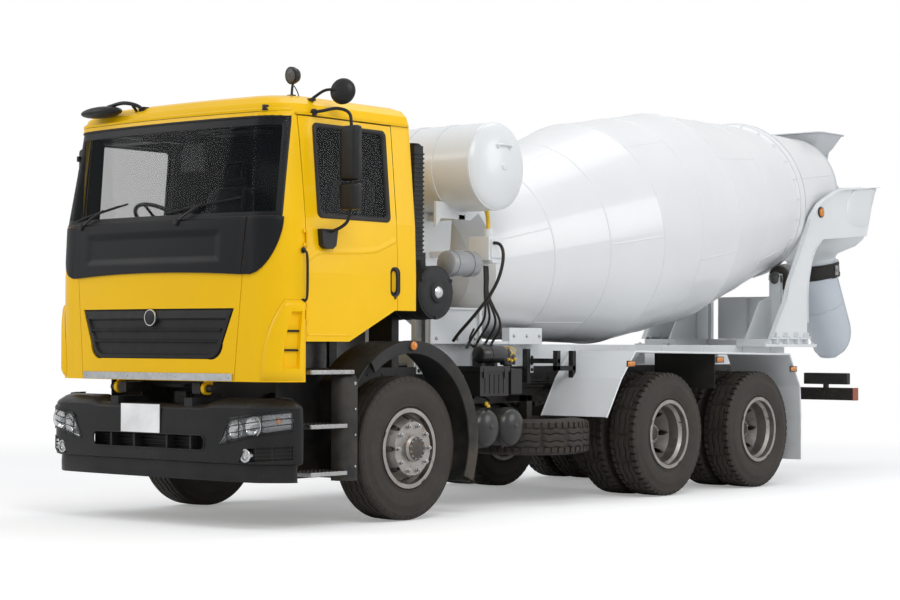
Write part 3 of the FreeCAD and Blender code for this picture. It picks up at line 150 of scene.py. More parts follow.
def rgba(colour, scale=1.0):
    return tuple(channel * scale for channel in colour[:3]) + (1.0,)


DUST = (0.25, 0.19, 0.13, 1.0)
DRY_MUD = (0.12, 0.088, 0.062, 1.0)
BARE_EDGE = (0.22, 0.2, 0.18, 1.0)
RUST = (0.16, 0.09, 0.05, 1.0)
CAB_LINING = (0.016, 0.017, 0.019, 1.0)
CAB_MIDDLE = (0.0, Y0 - 0.65, 2.15)
CAB_REACH = (("X", 1.172), ("Y", 0.72), ("Z", 0.84))


def lined(tree, shade):
    """The faces that look into the cab are dark lining instead of enamel."""
    off = tree.add("VectorMath", {0: tree.place, 1: CAB_MIDDLE}, operation="SUBTRACT").outputs[0]
    normal = tree.add("TexCoord").outputs["Normal"]
    facing = tree.add("VectorMath", {0: off, 1: normal}, operation="DOT_PRODUCT")
    mask = tree.math("LESS_THAN", facing.outputs["Value"], -0.02)
    size = tree.add("VectorMath", {0: off}, operation="ABSOLUTE").outputs[0]
    split = tree.add("SeparateXYZ", {0: size}).outputs
    for axis, reach in CAB_REACH:
        mask = tree.math("MULTIPLY", mask, tree.math("LESS_THAN", split[axis], reach))
    return tree.mix(mask, shade, CAB_LINING)


def paint(name, colour, rough=0.3, coat=0.4, dirt=0.35, line=0.9, wear=0.0, shine=0.5,
          lining=False):
    """Enamel with slight mottling, orange peel, and road dust that fades out at a height."""
    tree = Tree(name, Coat_Weight=coat, Coat_Roughness=0.08, Specular_IOR_Level=shine)
    broad = tree.noise(1.7, 3.0)
    tone = tree.mix(tree.ramp(broad, 0.35, 0.65), rgba(colour, 0.965), rgba(colour))
    dusty = tree.dusty(line, 0.15, 4.5, dirt)
    shade = tree.mix(dusty, tone, DUST)
    if wear:
        edge = tree.ramp(tree.add("NewGeometry").outputs["Pointiness"], 0.53, 0.6)
        chips = tree.ramp(tree.noise(60.0, 6.0, 0.7), 0.5, 0.62)
        worn = tree.math("MULTIPLY", tree.math("MULTIPLY", edge, chips), wear)
        shade = tree.mix(worn, shade, BARE_EDGE)
    tree.colour(lined(tree, shade) if lining else shade)
    haze = tree.ramp(tree.noise(2.5, 2.0), 0.3, 0.7, rough - 0.02, rough + 0.04)
    tree.rough(tree.math("ADD", haze, tree.math("MULTIPLY", dusty, 0.45)))
    tree.bump(tree.noise(240.0, 2.0), 0.05, 0.0006)
    return tree.material


def plastic(name, colour, rough=0.5, grain=0.25, dirt=0.35, line=0.9):
    """Moulded plastic: fine leather grain, dusty towards the ground."""
    tree = Tree(name, Specular_IOR_Level=0.28)
    tone = tree.mix(tree.ramp(tree.noise(3.0), 0.35, 0.7), rgba(colour, 0.85), rgba(colour, 1.2))
    tree.colour(tree.mix(tree.dusty(line, 0.1, 5.0, dirt), tone, DUST))
    tree.rough(tree.ramp(tree.noise(14.0, 4.0), 0.3, 0.7, rough - 0.08, rough + 0.1))
    cells = tree.add("TexVoronoi", {"Vector": tree.place, "Scale": 420.0}).outputs["Distance"]
    tree.bump(cells, grain, 0.0007)
    return tree.material


def rubber(name, colour, dust=0.6):
    """Tyre rubber with dried mud."""
    tree = Tree(name, Specular_IOR_Level=0.35)
    tone = tree.mix(tree.ramp(tree.noise(5.0), 0.35, 0.7), rgba(colour, 0.8), rgba(colour, 1.25))
    mud = tree.ramp(tree.noise(7.0, 9.0, 0.72), 0.36, 0.7, 0.12, dust)
    fine = tree.ramp(tree.noise(90.0, 5.0, 0.7), 0.3, 0.75, 0.5, 1.0)
    tree.colour(tree.mix(tree.math("MULTIPLY", mud, fine), tone, DRY_MUD))
    tree.rough(tree.ramp(mud, 0.0, 0.7, 0.5, 0.8))
    tree.bump(tree.noise(150.0, 6.0, 0.7), 0.35, 0.0015)
    return tree.material


def metal(name, colour, rough=0.35, brushed=0.15, rust=0.0):
    """Brushed or cast metal, with patches of rust where it is asked for."""
    tree = Tree(name, Metallic=1.0)
    tone = tree.mix(tree.ramp(tree.noise(6.0, 6.0), 0.3, 0.7), rgba(colour, 0.8), rgba(colour))
    if rust:
        patches = tree.ramp(tree.noise(12.0, 9.0, 0.7), 0.5, 0.68, 0.0, rust)
        tone = tree.mix(patches, tone, RUST)
    tree.colour(tone)
    tree.rough(tree.ramp(tree.noise(30.0, 5.0), 0.3, 0.7, rough - 0.08, rough + 0.12))
    tree.bump(tree.noise(320.0, 3.0), brushed, 0.0004)
    return tree.material


def glass(name, colour, alpha=0.35, rough=0.02):
    """Thin vehicle glass: a clear share and a reflecting share, with faint dust."""
    tree = Tree(name, Base_Color=rgba(colour), Alpha=alpha, Specular_IOR_Level=0.14)
    tree.rough(tree.ramp(tree.noise(5.0, 2.0, 0.5), 0.0, 1.0, rough, rough + 0.06))
    return tree.material


def lamp(name, colour, rough=0.15):
    """Moulded lens with fine optic ribs."""
    tree = Tree(name, Coat_Weight=0.8, Coat_Roughness=0.05, Alpha=0.85)
    ribs = tree.add("TexWave", {"Vector": tree.place, "Scale": 30.0, "Distortion": 0.3})
    tone = tree.mix(ribs.outputs["Fac"], rgba(colour, 0.75), rgba(colour))
    tree.colour(tone)
    tree.rough(tree.ramp(tree.noise(25.0), 0.3, 0.7, rough, rough + 0.1))
    tree.bump(ribs.outputs["Fac"], 0.25, 0.001)
    return tree.material


MAT = {
    "cab_yellow": paint("CabYellow", (0.96, 0.56, 0.001), 0.34, 0.08, 0.12, 1.3, shine=0.2,
                        lining=True),
    "panel_black": paint("PanelBlack", (0.009, 0.0095, 0.011), 0.42, 0.0, 0.06, 1.2, shine=0.18),
    "grille_black": plastic("GrilleBlack", (0.016, 0.016, 0.017), 0.5, 0.2, 0.15),
    "bumper_black": plastic("BumperBlack", (0.009, 0.0095, 0.0105), 0.34, 0.15, 0.08, 1.0),
    "black_plastic": plastic("BlackPlastic", (0.02, 0.021, 0.022), 0.55, 0.35, 0.45, 1.4),
    "window_glass": glass("WindowGlass", (0.008, 0.011, 0.013), 0.22),
    "lamp_glass": glass("LampGlass", (0.75, 0.78, 0.8), 0.22),
    "mirror_black": plastic("MirrorBlack", (0.015, 0.015, 0.016), 0.42, 0.2, 0.05),
    "trim_dark": plastic("TrimDark", (0.028, 0.029, 0.031), 0.7, 0.3, 0.0),
    "chassis_black": paint("ChassisBlack", (0.009, 0.009, 0.0095), 0.45, 0.05, 0.2, 1.2, wear=0.2,
                           shine=0.35),
    "tank_black": paint("TankBlack", (0.015, 0.015, 0.016), 0.32, 0.2, 0.1, 1.2, shine=0.4),
    "cast_engine": metal("CastEngine", (0.2, 0.2, 0.2), 0.6, 0.4, 0.3),
    "cast_steel": metal("CastSteel", (0.12, 0.115, 0.11), 0.6, 0.5, 0.6),
    "spring_steel": paint("SpringSteel", (0.025, 0.024, 0.023), 0.5, 0.0, 0.7, 1.2),
    "wheel_steel": metal("WheelSteel", (0.42, 0.4, 0.38), 0.45, 0.3, 0.55),
    "tyre_rubber": rubber("TyreRubber", (0.017, 0.016, 0.015), 0.42),
    "body_white": paint("BodyWhite", (0.76, 0.785, 0.8), 0.34, 0.35, 0.3, 1.1),
    "drum_white": paint("DrumWhite", (0.78, 0.79, 0.8), 0.34, 0.4, 0.0),
    "drive_grey": paint("DriveGrey", (0.3, 0.31, 0.32), 0.4, 0.3, 0.2, 1.6),
    "hopper_grey": paint("HopperGrey", (0.62, 0.64, 0.66), 0.4, 0.2, 0.0, wear=0.3),
    "chute_grey": paint("ChuteGrey", (0.6, 0.65, 0.71), 0.38, 0.25, 0.2, 2.2, wear=0.4),
    "bare_steel": metal("BareSteel", (0.5, 0.5, 0.5), 0.3, 0.3, 0.2),
}
CHROME = metal("Chrome", (0.8, 0.8, 0.8), 0.12, 0.02)
SILVER = metal("SilverTrim", (0.62, 0.63, 0.64), 0.3, 0.1)
MIRROR = metal("MirrorFace", (0.85, 0.87, 0.88), 0.1, 0.0)
AMBER = lamp("AmberLens", (0.9, 0.28, 0.01))
RED = lamp("RedLens", (0.6, 0.02, 0.015))
CLEAR = glass("ClearLens", (0.6, 0.62, 0.64), 0.14, 0.03)
LAMP_BACK = metal("LampBack", (0.3, 0.31, 0.32), 0.3, 0.05)
PLATE = plastic("PlateWhite", (0.9, 0.9, 0.9), 0.35, 0.03, 0.0)
HOSE = rubber("HoseBlack", (0.015, 0.015, 0.015), 0.1)
SEAL = rubber("SealBlack", (0.012, 0.012, 0.012), 0.05)
YELLOW_PIPE = paint("PipeYellow", (0.85, 0.55, 0.02), 0.35, 0.2, 0.1, 1.5)
RUST_RED = paint("EndCapRed", (0.35, 0.1, 0.06), 0.6, 0.0, 0.3, 1.5)

for record in frame["record"]["subparts"]:
    for held in frame["nodes"][record["node"]].material_slots:
        held.link = "OBJECT"
        held.material = MAT[record["material_slot"]]


# ------------------------------------------------------------ mesh kit (millimetres)

def linked(name, data):
    """A new object in the scene."""
    thing = bpy.data.objects.new(name, data)
    scene.collection.objects.link(thing)
    return thing


def smooth_path(points, pieces=6):
    """Catmull-Rom points through a list of corners."""
    path = [Vector(p) for p in points]
    ends = [path[0] * 2 - path[1], *path, path[-1] * 2 - path[-2]]
    out = []
    for a, b, c, d in zip(ends, ends[1:], ends[2:], ends[3:]):
        for k in range(pieces):
            t = k / pieces
            out.append(0.5 * (2 * b + (c - a) * t + (2 * a - 5 * b + 4 * c - d) * t * t
                              + (3 * b - a - 3 * c + d) * t ** 3))
    return out + [path[-1]]


def sheet(count, width, closed=False, loop=False):
    """Faces between rows of points: closed joins each row's ends, loop the last row and first."""
    faces = []
    for i in range(count if loop else count - 1):
        a, b = i * width, (i + 1) % count * width
        for j in range(width if closed else width - 1):
            k = (j + 1) % width
            faces.append((a + j, a + k, b + k, b + j))
    return faces


def rounded(u0, u1, v0, v1, r, n=7):
    """A rectangle's outline with round corners."""
    points = []
    for u, v, start in ((u1 - r, v1 - r, 0), (u0 + r, v1 - r, 90), (u0 + r, v0 + r, 180),
                        (u1 - r, v0 + r, 270)):
        for a in (math.radians(start + 90 * k / n) for k in range(n + 1)):
            points.append((u + r * math.cos(a), v + r * math.sin(a)))
    return points


class Part:
    """A mesh piece in millimetres from the front axle, put together from simple forms."""

    def __init__(self):
        self.bm = bmesh.new()

    def faces(self, points, faces):
        verts = [self.bm.verts.new(p) for p in points]
        for face in faces:
            try:
                self.bm.faces.new([verts[i] for i in face])
            except ValueError:
                pass
        return verts

    def box(self, x0, x1, y0, y1, z0, z1, turn=None):
        x0, x1 = sorted((x0, x1))
        corners = [Vector((x, y, z)) for x in (x0, x1) for y in (y0, y1) for z in (z0, z1)]
        if turn:
            centre = Vector(((x0 + x1) / 2, (y0 + y1) / 2, (z0 + z1) / 2))
            corners = [centre + turn @ (c - centre) for c in corners]
        self.faces(corners, [(0, 1, 3, 2), (4, 6, 7, 5), (0, 4, 5, 1), (2, 3, 7, 6),
                             (0, 2, 6, 4), (1, 5, 7, 3)])
        return self

    def prism(self, plane, outline, low, high):
        """An outline in a plane, YZ, XZ or XY, pulled from low to high along the third axis."""
        def point(u, v, w):
            return {"YZ": (w, u, v), "XZ": (u, w, v), "XY": (u, v, w)}[plane]
        return self.bridge(*([point(u, v, w) for u, v in outline] for w in (low, high)))

    def bridge(self, first, second):
        """A closed solid between two rings of points."""
        n = len(first)
        sides = [(i, (i + 1) % n, n + (i + 1) % n, n + i) for i in range(n)]
        self.faces([*first, *second], [tuple(range(n))[::-1], tuple(range(n, 2 * n)), *sides])
        return self


    def lathe(self, profile, centre, axis, n=32, start=0, sweep=360, closed=False):
        """Profile points (radius, along) turned about an axis through a centre."""
        axis = Vector(axis).normalized()
        side = axis.orthogonal().normalized()
        up = axis.cross(side)
        centre = Vector(centre)
        full = sweep >= 360
        rings = n if full else n + 1
        points = []
        for k in range(rings):
            angle = math.radians(start + sweep * k / n)
            out = side * math.cos(angle) + up * math.sin(angle)
            points += [centre + out * r + axis * h for r, h in profile]
        self.faces(points, sheet(rings, len(profile), closed, full))
        return self

    def rod(self, start, end, radius, n=16, tip=None):
        start, end = Vector(start), Vector(end)
        length = (end - start).length
        tip = radius if tip is None else tip
        profile = [(0, 0), (radius, 0), (tip, length), (0, length)]
        return self.lathe(profile, start, end - start, n)

    def tube(self, points, radius, n=10, pieces=5, smooth=True, ends=True):
        """A round bar along a path."""
        path = smooth_path(points, pieces) if smooth else [Vector(p) for p in points]
        rings, before = [], None
        for i, p in enumerate(path):
            ahead = path[min(i + 1, len(path) - 1)] - path[max(i - 1, 0)]
            ahead.normalize()
            if before is None:
                side = ahead.orthogonal().normalized()
            else:
                side = (before - ahead * before.dot(ahead)).normalized()
            before = side
            up = ahead.cross(side)
            rings.append([p + (side * math.cos(a) + up * math.sin(a)) * radius for a in angles(n)])
        points = [p for ring in rings for p in ring]
        faces = sheet(len(rings), n, closed=True)
        if ends:
            faces += [tuple(range(n))[::-1], tuple(range((len(rings) - 1) * n, len(rings) * n))]
        self.faces(points, faces)
        return self

    def bolt(self, place, axis, radius=11, height=8, washer=True):
        place, axis = Vector(place), Vector(axis).normalized()
        if washer:
            self.lathe([(0, 0), (radius * 1.35, 0), (radius * 1.35, 2), (0, 2)], place, axis, 16)
        self.lathe([(0, 1), (radius, 1), (radius, height - 1), (radius * 0.8, height),
                    (0, height)], place, axis, 6)
        return self

    def grid(self, rows, thick=0, closed=False):
        """A sheet over rows of points; thick pushes a second skin along the normals."""
        points = [Vector(p) for row in rows for p in row]
        faces = sheet(len(rows), len(rows[0]), closed)
        if not thick:
            self.faces(points, faces)
            return self
        normals = [Vector() for _ in points]
        for face in faces:
            a, b, c, d = (points[i] for i in face)
            normal = (c - a).cross(d - b)
            for i in face:
                normals[i] += normal
        back = [p + n.normalized() * thick if n.length else p for p, n in zip(points, normals)]
        total = len(points)
        faces += [tuple(i + total for i in face[::-1]) for face in faces]
        edges = {}
        for face in faces[:len(faces) // 2]:
            for a, b in zip(face, face[1:] + face[:1]):
                edges[(a, b)] = edges.get((a, b), 0) + 1
        for a, b in edges:
            if (b, a) not in edges:
                faces.append((b, a, a + total, b + total))
        self.faces(points + back, faces)
        return self

    def mesh(self, name):
        """The forms as one mesh in metres, with their normals outwards."""
        bmesh.ops.recalc_face_normals(self.bm, faces=self.bm.faces)
        for vert in self.bm.verts:
            vert.co = at(*vert.co)
        mesh = bpy.data.meshes.new(name)
        self.bm.to_mesh(mesh)
        self.bm.free()
        return mesh

    def done(self, name, material, body, slot=None, bevel=0.0, angle=40, segments=2,
             subdivide=0, replaces=()):
        """Makes the piece, rides it on its body and hides the nodes it replaces; slot is not used.
        """
        mesh = self.mesh(name)
        mesh.shade_smooth()
        mesh.set_sharp_from_angle(angle=math.radians(angle))
        thing = linked(name, mesh)
        mesh.materials.append(MAT[material] if isinstance(material, str) else material)
        if bevel:
            edge = thing.modifiers.new("Bevel", "BEVEL")
            edge.width = bevel / 1000
            edge.segments = segments
            edge.limit_method = "ANGLE"
            edge.angle_limit = math.radians(35)
            edge.harden_normals = True
        if subdivide:
            thing.modifiers.new("Smooth", "SUBSURF").levels = subdivide
            thing.modifiers["Smooth"].render_levels = subdivide
        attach(thing, body)
        if replaces:
            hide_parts(*replaces)
        return thing


class Skin:
    """The outer faces of some CAD nodes, to lay trim on."""

    def __init__(self, *nodes):
        verts, faces = [], []
        for node in nodes:
            mesh = frame["nodes"][node].data
            start = len(verts)
            verts += [v.co.copy() for v in mesh.vertices]
            faces += [tuple(start + i for i in p.vertices) for p in mesh.polygons]
        self.tree = BVHTree.FromPolygons(verts, faces)

    def hit(self, start, direction):
        """Where a ray from a point in millimetres meets the skin, in millimetres."""
        found = self.tree.ray_cast(at(*start), Vector(direction).normalized())[0]
        if found is None:
            return None
        return Vector((found.x * 1000, (found.y - Y0) * 1000, found.z * 1000))

    def front(self, x, z, proud=0):
        p = self.hit((x, -2600, z), (0, 1, 0))
        return None if p is None else Vector((x, p.y - proud, z))


# ------------------------------------------------------------ cab

CAB = Skin("cab_shell", "cab_front_panel", "grille", "windscreen", "door_left", "door_right",
           "door_glass_left", "door_glass_right")
GLASS = Skin("windscreen")
CAB_BACK = (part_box("cab_shell")[1] * 1000).y - Y0 * 1000
LID_LOW, LID_HIGH = (v * 1000 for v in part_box("cab_front_panel"))
SCREEN_LOW, SCREEN_HIGH = (v * 1000 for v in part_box("windscreen"))
GRILLE_LOW, GRILLE_HIGH = (v * 1000 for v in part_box("grille"))
WAIST = LID_HIGH.z


def seam_x(z):
    """Half width of the panel under the screen at a height."""
    share = (z - LID_LOW.z + 20) / (LID_HIGH.z - LID_LOW.z + 20)
    return LID_HIGH.x - 105 + 105 * share


def black_panels():
    """Moulded black finisher under the screen, in three parts along the panel seams."""
    def bottom(x):
        return 1768 - 24 * (x / 887) ** 2 if abs(x) < 890 else 1744 + (abs(x) - 890) * 0.35

    def edge(z):
        t = limit((z - 1744) / (WAIST - 1744))
        return 905 + 222 * math.sqrt(max(1 - (1 - t) ** 2, 0)) ** 0.9

    part = Part()
    rows = []
    for t in spread(0, 1, 28):
        row = []
        for j in range(97):
            u = j / 96 * 2 - 1
            z = between(bottom(u * 880), WAIST + 4, t)
            x = u * (seam_x(z) - 1)
            inside = u * (seam_x(z) - 9) if abs(u) > 0.97 else x
            dent = 11 * min(limit((700 - abs(x + 40)) / 50),
                            limit(min(z - 1838, 2052 - z) / 32))
            row.append(Vector((x, CAB.front(inside, z, 7 - dent).y, z)))
        rows.append(row)
    part.grid(rows, 6)
    part.done("Black_Finisher", "panel_black", "cab", angle=25)
    for sign, side in SIDES:
        part = Part()
        rows = []
        for z in spread(1745, WAIST + 4, 24):
            start = seam_x(z) + 3
            rows.append([Vector((sign * x, CAB.front(sign * max(x, start + 7), z, 6).y, z))
                         for x in spread(start, edge(z), 12)])
        part.grid(rows, 6)
        part.done(f"Black_Corner_{side.capitalize()}", "panel_black", "cab", angle=25)


def screen_trim():
    """Black printed border inside the glass edge and the rubber seal round it."""
    top, low = SCREEN_HIGH.z - 1, SCREEN_LOW.z + 2
    half_low, half_top = 1112, 1073

    def ring(inset, inset_top, inset_low):
        z0, z1 = low + inset_low, top - inset_top

        def edge(z):
            return between(half_low, half_top, (z - low) / (top - low)) - inset
        return ([(x, z0) for x in spread(-half_low + inset, half_low - inset, 48)]
                + [(edge(z), z) for z in spread(z0, z1, 24)[1:-1]]
                + [(x, z1) for x in spread(half_top - inset, -half_top + inset, 48)]
                + [(-edge(z), z) for z in spread(z1, z0, 24)[1:-1]])

    def lay(points, proud):
        return [GLASS.front(x, z, proud) or CAB.front(x, z, proud) for x, z in points]

    part = Part()
    rows = [lay(ring(4, 4, 4), 1.5), lay(ring(34, 62, 40), 1.5)]
    part.grid(rows, closed=True)
    part.done("Screen_Border", "panel_black", "cab")
    part = Part()
    path = lay(ring(2, 2, 2), 2)
    part.tube(path + path[:1], 9, 8, smooth=False)
    part.done("Screen_Seal", SEAL, "cab", "trim_dark")
    part = Part()
    for pivot, tip, toe, heel in (
            ((-820, 2118), (-560, 2228), (-905, 2168), (-300, 2268)),
            ((250, 2118), (480, 2236), (130, 2184), (810, 2272))):
        base = CAB.front(*pivot, 12)
        reach = GLASS.front(*tip, 26)
        part.lathe([(0, -14), (24, -14), (24, 12), (16, 20), (0, 20)], base, (0, -1, 0), 16)
        part.tube([base, (base + reach) / 2 + Vector((0, -16, 0)), reach], 9, 8)
        blade = [GLASS.front(x, z, 9) for x, z in
                 zip(spread(toe[0], heel[0], 8), spread(toe[1], heel[1], 8))]
        part.tube(blade, 7, 6)
        part.tube([p + Vector((0, -13, 3)) for p in blade[1:-1]], 4, 6)
    part.done("Wipers", "mirror_black", "cab")


def front_details():
    """Grille bars and mesh, plain round badge, bright strip and clearance lamps."""
    part = Part()
    low, high = GRILLE_LOW.z, GRILLE_HIGH.z
    for k in range(58):
        x = -730 + 1460 * k / 57
        foot = low + 46 + max(0, abs(x) - 560) * 1.9
        if foot < high - 90:
            part.tube([CAB.front(x, z, -2) for z in (foot, high - 84)], 3.4, 4, smooth=False)
    for z in range(int(low) + 60, int(high) - 90, 17):
        wide = 600 + (z - low) * 0.36
        part.tube([CAB.front(x, z, -1) for x in spread(-wide, wide, 16)], 2.6, 4, smooth=False)
    part.done("Grille_Mesh", "grille_black", "cab")
    part = Part()
    outline = [(x, low + 6) for x in spread(-552, 552, 32)]
    for k in range(1, 9):
        a = math.radians(-90 + 62 * k / 8)
        outline.append((552 + 118 * math.cos(a), low + 118 + 112 * math.sin(a)))
    outline += list(zip(spread(657, 768, 12), spread(low + 65, high - 8, 12)))[1:]
    outline += [(x, high - 8) for x in spread(768, -768, 32)[1:]]
    outline += list(zip(spread(-768, -657, 12), spread(high - 8, low + 65, 12)))[1:]
    for k in range(1, 8):
        a = math.radians(-152 + 62 * k / 8)
        outline.append((-552 + 118 * math.cos(a), low + 118 + 112 * math.sin(a)))
    middle_z = (low + high) / 2
    rows = []
    for inset, proud in ((0, -4), (2, 14), (26, 18), (34, -2)):
        row = []
        for x, z in outline:
            side = -1 if x > 0 else 1
            reach_x = min(abs(x) / 700, 1)
            up = 1 if z < middle_z else (-2.2 if z > high - 20 else 0)
            row.append(CAB.front(x + side * inset * reach_x, z + up * inset, proud))
        rows.append(row)
    part.grid(rows, closed=True)
    for z in (low + 128, low + 206):
        wide = 600 + (z - low) * 0.33
        bar = [CAB.front(x, z, 10) for x in spread(-wide, wide, 24)]
        part.grid([[p + Vector((0, dy, dz)) for p in bar]
                   for dy, dz in ((8, -9), (-7, -5), (-9, 3), (8, 9))])
    part.done("Grille_Frame", "grille_black", "cab", angle=50)
    part = Part()
    centre = CAB.front(0, high - 62, 14)
    part.lathe([(0, 10), (52, 10), (58, 6), (60, -12), (0, -12)], centre, (0, -1, 0), 40)
    part.done("Badge_Boss", "grille_black", "cab")
    part = Part()
    part.lathe([(50, 8), (52, 15), (58, 15), (60, 8)], centre, (0, -1, 0), 48)
    part.done("Badge_Ring", CHROME, "cab", "bare_steel")
    part = Part()
    rows = [[CAB.front(x, z, proud) for x in spread(-776, 776, 40)]
            for z, proud in ((LID_LOW.z + 4, 2), (LID_LOW.z + 4, 8), (LID_LOW.z + 54, 8),
                             (LID_LOW.z + 54, 2))]
    part.grid(rows)
    for x in (-740, -250, 250, 740):
        part.bolt(CAB.front(x, LID_LOW.z + 29, 8), (0, -1, 0), 6, 5)
    part.done("Bright_Strip", SILVER, "cab", "bare_steel")
    part = Part()
    for x in (-1040, 935):
        p = CAB.hit((x, -1290, 3300), (0, 0.1, -1))
        part.lathe([(0, -6), (26, -6), (26, 4), (18, 10), (0, 10)], p, (0, 0, 1), 16)
        part.box(p.x - 11, p.x + 11, p.y - 26, p.y + 26, p.z, p.z + 34)
    part.done("Clearance_Lamps", "mirror_black", "cab", bevel=5)


def corner_point(turn, z, proud, sign=1):
    """A point on the cab's front corner; turn is 0 facing ahead and 90 facing out."""
    centre = Vector((sign * 920, -1105, z))
    out = Vector((sign * math.sin(math.radians(turn)), -math.cos(math.radians(turn)), 0))
    p = CAB.hit(centre + out * 900, -out)
    return p + out * proud


def corner_vents():
    """Raised air outlets on the lower corners, each a dark slot with two blades."""
    for sign, side in SIDES:
        name = side.capitalize()
        part = Part()
        rows = []
        for t in spread(0, 1, 30):
            z = between(1030, 1568, t)
            start = 20 + 34 * t ** 2.2
            row = []
            for u in spread(0, 1, 24):
                turn = between(start, 86, u)
                rise = min(u / 0.14, 1, (1 - u) / 0.12)
                fall = min(t / 0.1, 1, (1 - t) / 0.06)
                proud = 2 + 26 * max(min(rise, fall), 0) ** 0.6
                if 0.46 < u < 0.8 and 0.16 < t < 0.86:
                    proud -= 46
                row.append(corner_point(turn, z, proud, sign))
            rows.append(row)
        part.grid(rows, 3)
        part.done(f"Corner_Vent_{name}", "cab_yellow", "cab", angle=32)
        part = Part()
        part.grid([[corner_point(turn, z, -13, sign) for turn in spread(48, 77, 8)]
                   for z in spread(1122, 1486, 10)], 3)
        for z in (1228, 1358):
            part.grid([[corner_point(turn, z + dz, dp, sign) for turn in spread(50, 76, 8)]
                       for dz, dp in ((-8, -12), (-3, 14), (5, 16), (14, -12))])
        part.done(f"Vent_Blades_{name}", "grille_black", "cab", angle=60)


def roof_details():
    """Rain gutter, work lamp, and the round and oblong mirrors over the front edge."""
    part = Part()
    for sign in (1, -1):
        path = [CAB.hit((sign * 2000, y, 2852), (-sign, 0, 0)) + Vector((sign * 3, 0, 0))
                for y in spread(-1120, 20, 18)]
        rows = [[p + Vector((sign * dx, 0, dz)) for p in path]
                for dx, dz in ((-2, -9), (9, -7), (15, 6), (11, 7), (7, -1), (-2, 1))]
        part.grid(rows)
    path = [corner_point(t, 2876, 3) for t in range(80, -1, -8)]
    whole = path + [CAB.front(x, 2876, 3) for x in range(880, -881, -80)]
    whole += [Vector((-p.x, p.y, p.z)) for p in path[::-1]]
    rows = [[p + Vector((0, dy, dz)) for p in whole] for dy, dz in
            ((2, -16), (-8, -12), (-12, 2), (-4, 12), (2, 14))]
    part.grid(rows)
    part.done("Rain_Gutter", "cab_yellow", "cab", angle=50)

    part = Part()
    base = CAB.hit((870, -930, 3300), (0, 0, -1))
    head = Vector((851, -900, 3150))
    part.box(base.x - 26, base.x + 26, base.y - 18, base.y + 18, base.z - 6, base.z + 12)
    part.tube([base, (860, -910, 3080), head + Vector((0, 20, -30))], 9, 8)
    part.tube([base + Vector((60, 10, 0)), (900, -905, 3035), (866, -900, 3075)], 4, 6)
    part.lathe([(0, 52), (26, 50), (48, 34), (60, 8), (62, -18), (56, -22), (0, -18)], head,
               (0.1, 1, 0.12), 28)
    part.done("Work_Lamp", "mirror_black", "cab")
    part = Part()
    part.lathe([(0, -26), (30, -25), (54, -20), (56, -16), (0, -16)], head, (0.1, 1, 0.12), 28)
    part.done("Work_Lamp_Lens", CLEAR, "cab", "lamp_glass")

    part = Part()
    base = CAB.hit((1050, -930, 3300), (0, 0, -1))
    head = Vector((1250, -816, 3018))
    part.tube([base + Vector((0, 0, -4)), base + Vector((20, 30, 26)), head + Vector((-90, -70, 8)),
               head + Vector((6, -28, 4))], 11, 8)
    part.lathe([(0, 40), (44, 37), (76, 24), (92, 2), (92, -12), (86, -16), (0, -14)], head,
               (0.35, -0.9, 0.1), 36)
    part.box(base.x - 34, base.x + 34, base.y - 22, base.y + 22, base.z - 8, base.z + 10)
    part.done("Round_Mirror", "mirror_black", "cab", bevel=2)
    part = Part()
    part.lathe([(0, -26), (55, -20), (84, -15), (0, -15)], head, (0.35, -0.9, 0.1), 36)
    part.done("Round_Mirror_Face", MIRROR, "cab", "mirror_black")

    part = Part()
    base = CAB.hit((-330, -1255, 3300), (0, 0, -1))
    part.tube([base + Vector((20, 20, -6)), base + Vector((0, -40, 34)), (-440, -1330, 3010),
               (-600, -1332, 2992)], 14, 8)
    part.tube([base + Vector((-70, 26, -6)), base + Vector((-30, -30, 14)),
               base + Vector((-20, -60, 30))], 11, 8)
    part.box(base.x - 16, base.x + 44, base.y - 8, base.y + 40, base.z - 12, base.z + 26)
    rows = []
    for t in spread(0, 1, 16):
        swell = math.sin(math.pi * t) ** 0.42 if 0 < t < 1 else 0.06
        y, z, x = -1330, 2962 - 8 * t, between(-470, -880, t)
        rows.append([Vector((x, y + 88 * swell * math.cos(a), z + 42 * swell * math.sin(a)))
                     for a in angles(20)])
    part.grid(rows, closed=True)
    part.done("Front_Mirror", "mirror_black", "cab")


def cab_extras():
    """Grab handles, rear wall ribs, and the first plain mirror, visors and head rests."""
    part = Part()
    for sign in (1, -1):
        y = -1135
        part.tube([(sign * 1193, y, 1560), (sign * 1226, y, 1590), (sign * 1232, y, 1730),
               (sign * 1226, y, 1880), (sign * 1190, y, 1910)], 9, 10)
        for z in (1560, 1910):
            part.bolt((sign * 1190, y, z), (sign, 0, 0), 16, 6)
    part.done("Entry_Handles", "mirror_black", "cab")
    part = Part()
    back = CAB_BACK
    for x in range(-900, 901, 225):
        part.box(x - 26, x + 26, back - 1, back + 12, 1640, 2780)
    for z in (1560, 2810):
        part.box(-1010, 1010, back - 1, back + 16, z, z + 40)
    part.done("Back_Wall_Ribs", "cab_yellow", "cab", bevel=8)
    part = Part()
    part.tube([(120, -1180, 2800), (90, -1130, 2700), (80, -1095, 2630)], 10, 8)
    part.tube([(40, -1180, 2800), (45, -1130, 2710), (40, -1095, 2630)], 10, 8)
    part.box(-60, 190, -1115, -1080, 2505, 2655)
    for x in (-560, 560):
        part.box(x - 250, x + 250, -1195, -1050, 2735, 2752)
    part.done("Inner_Mirror", "mirror_black", "cab", bevel=16, segments=3)
    part = Part()
    for x in (-620, 620):
        part.box(x - 130, x + 130, -40, 50, 2500, 2680)
        part.box(x - 235, x - 165, -230, -90, 2060, 2110)
        for x0 in (x - 245, x + 180):
            part.box(x0, x0 + 65, -600, -150, 1880, 1920)
    part.done("Headrests", "trim_dark", "cab", bevel=22, segments=3)


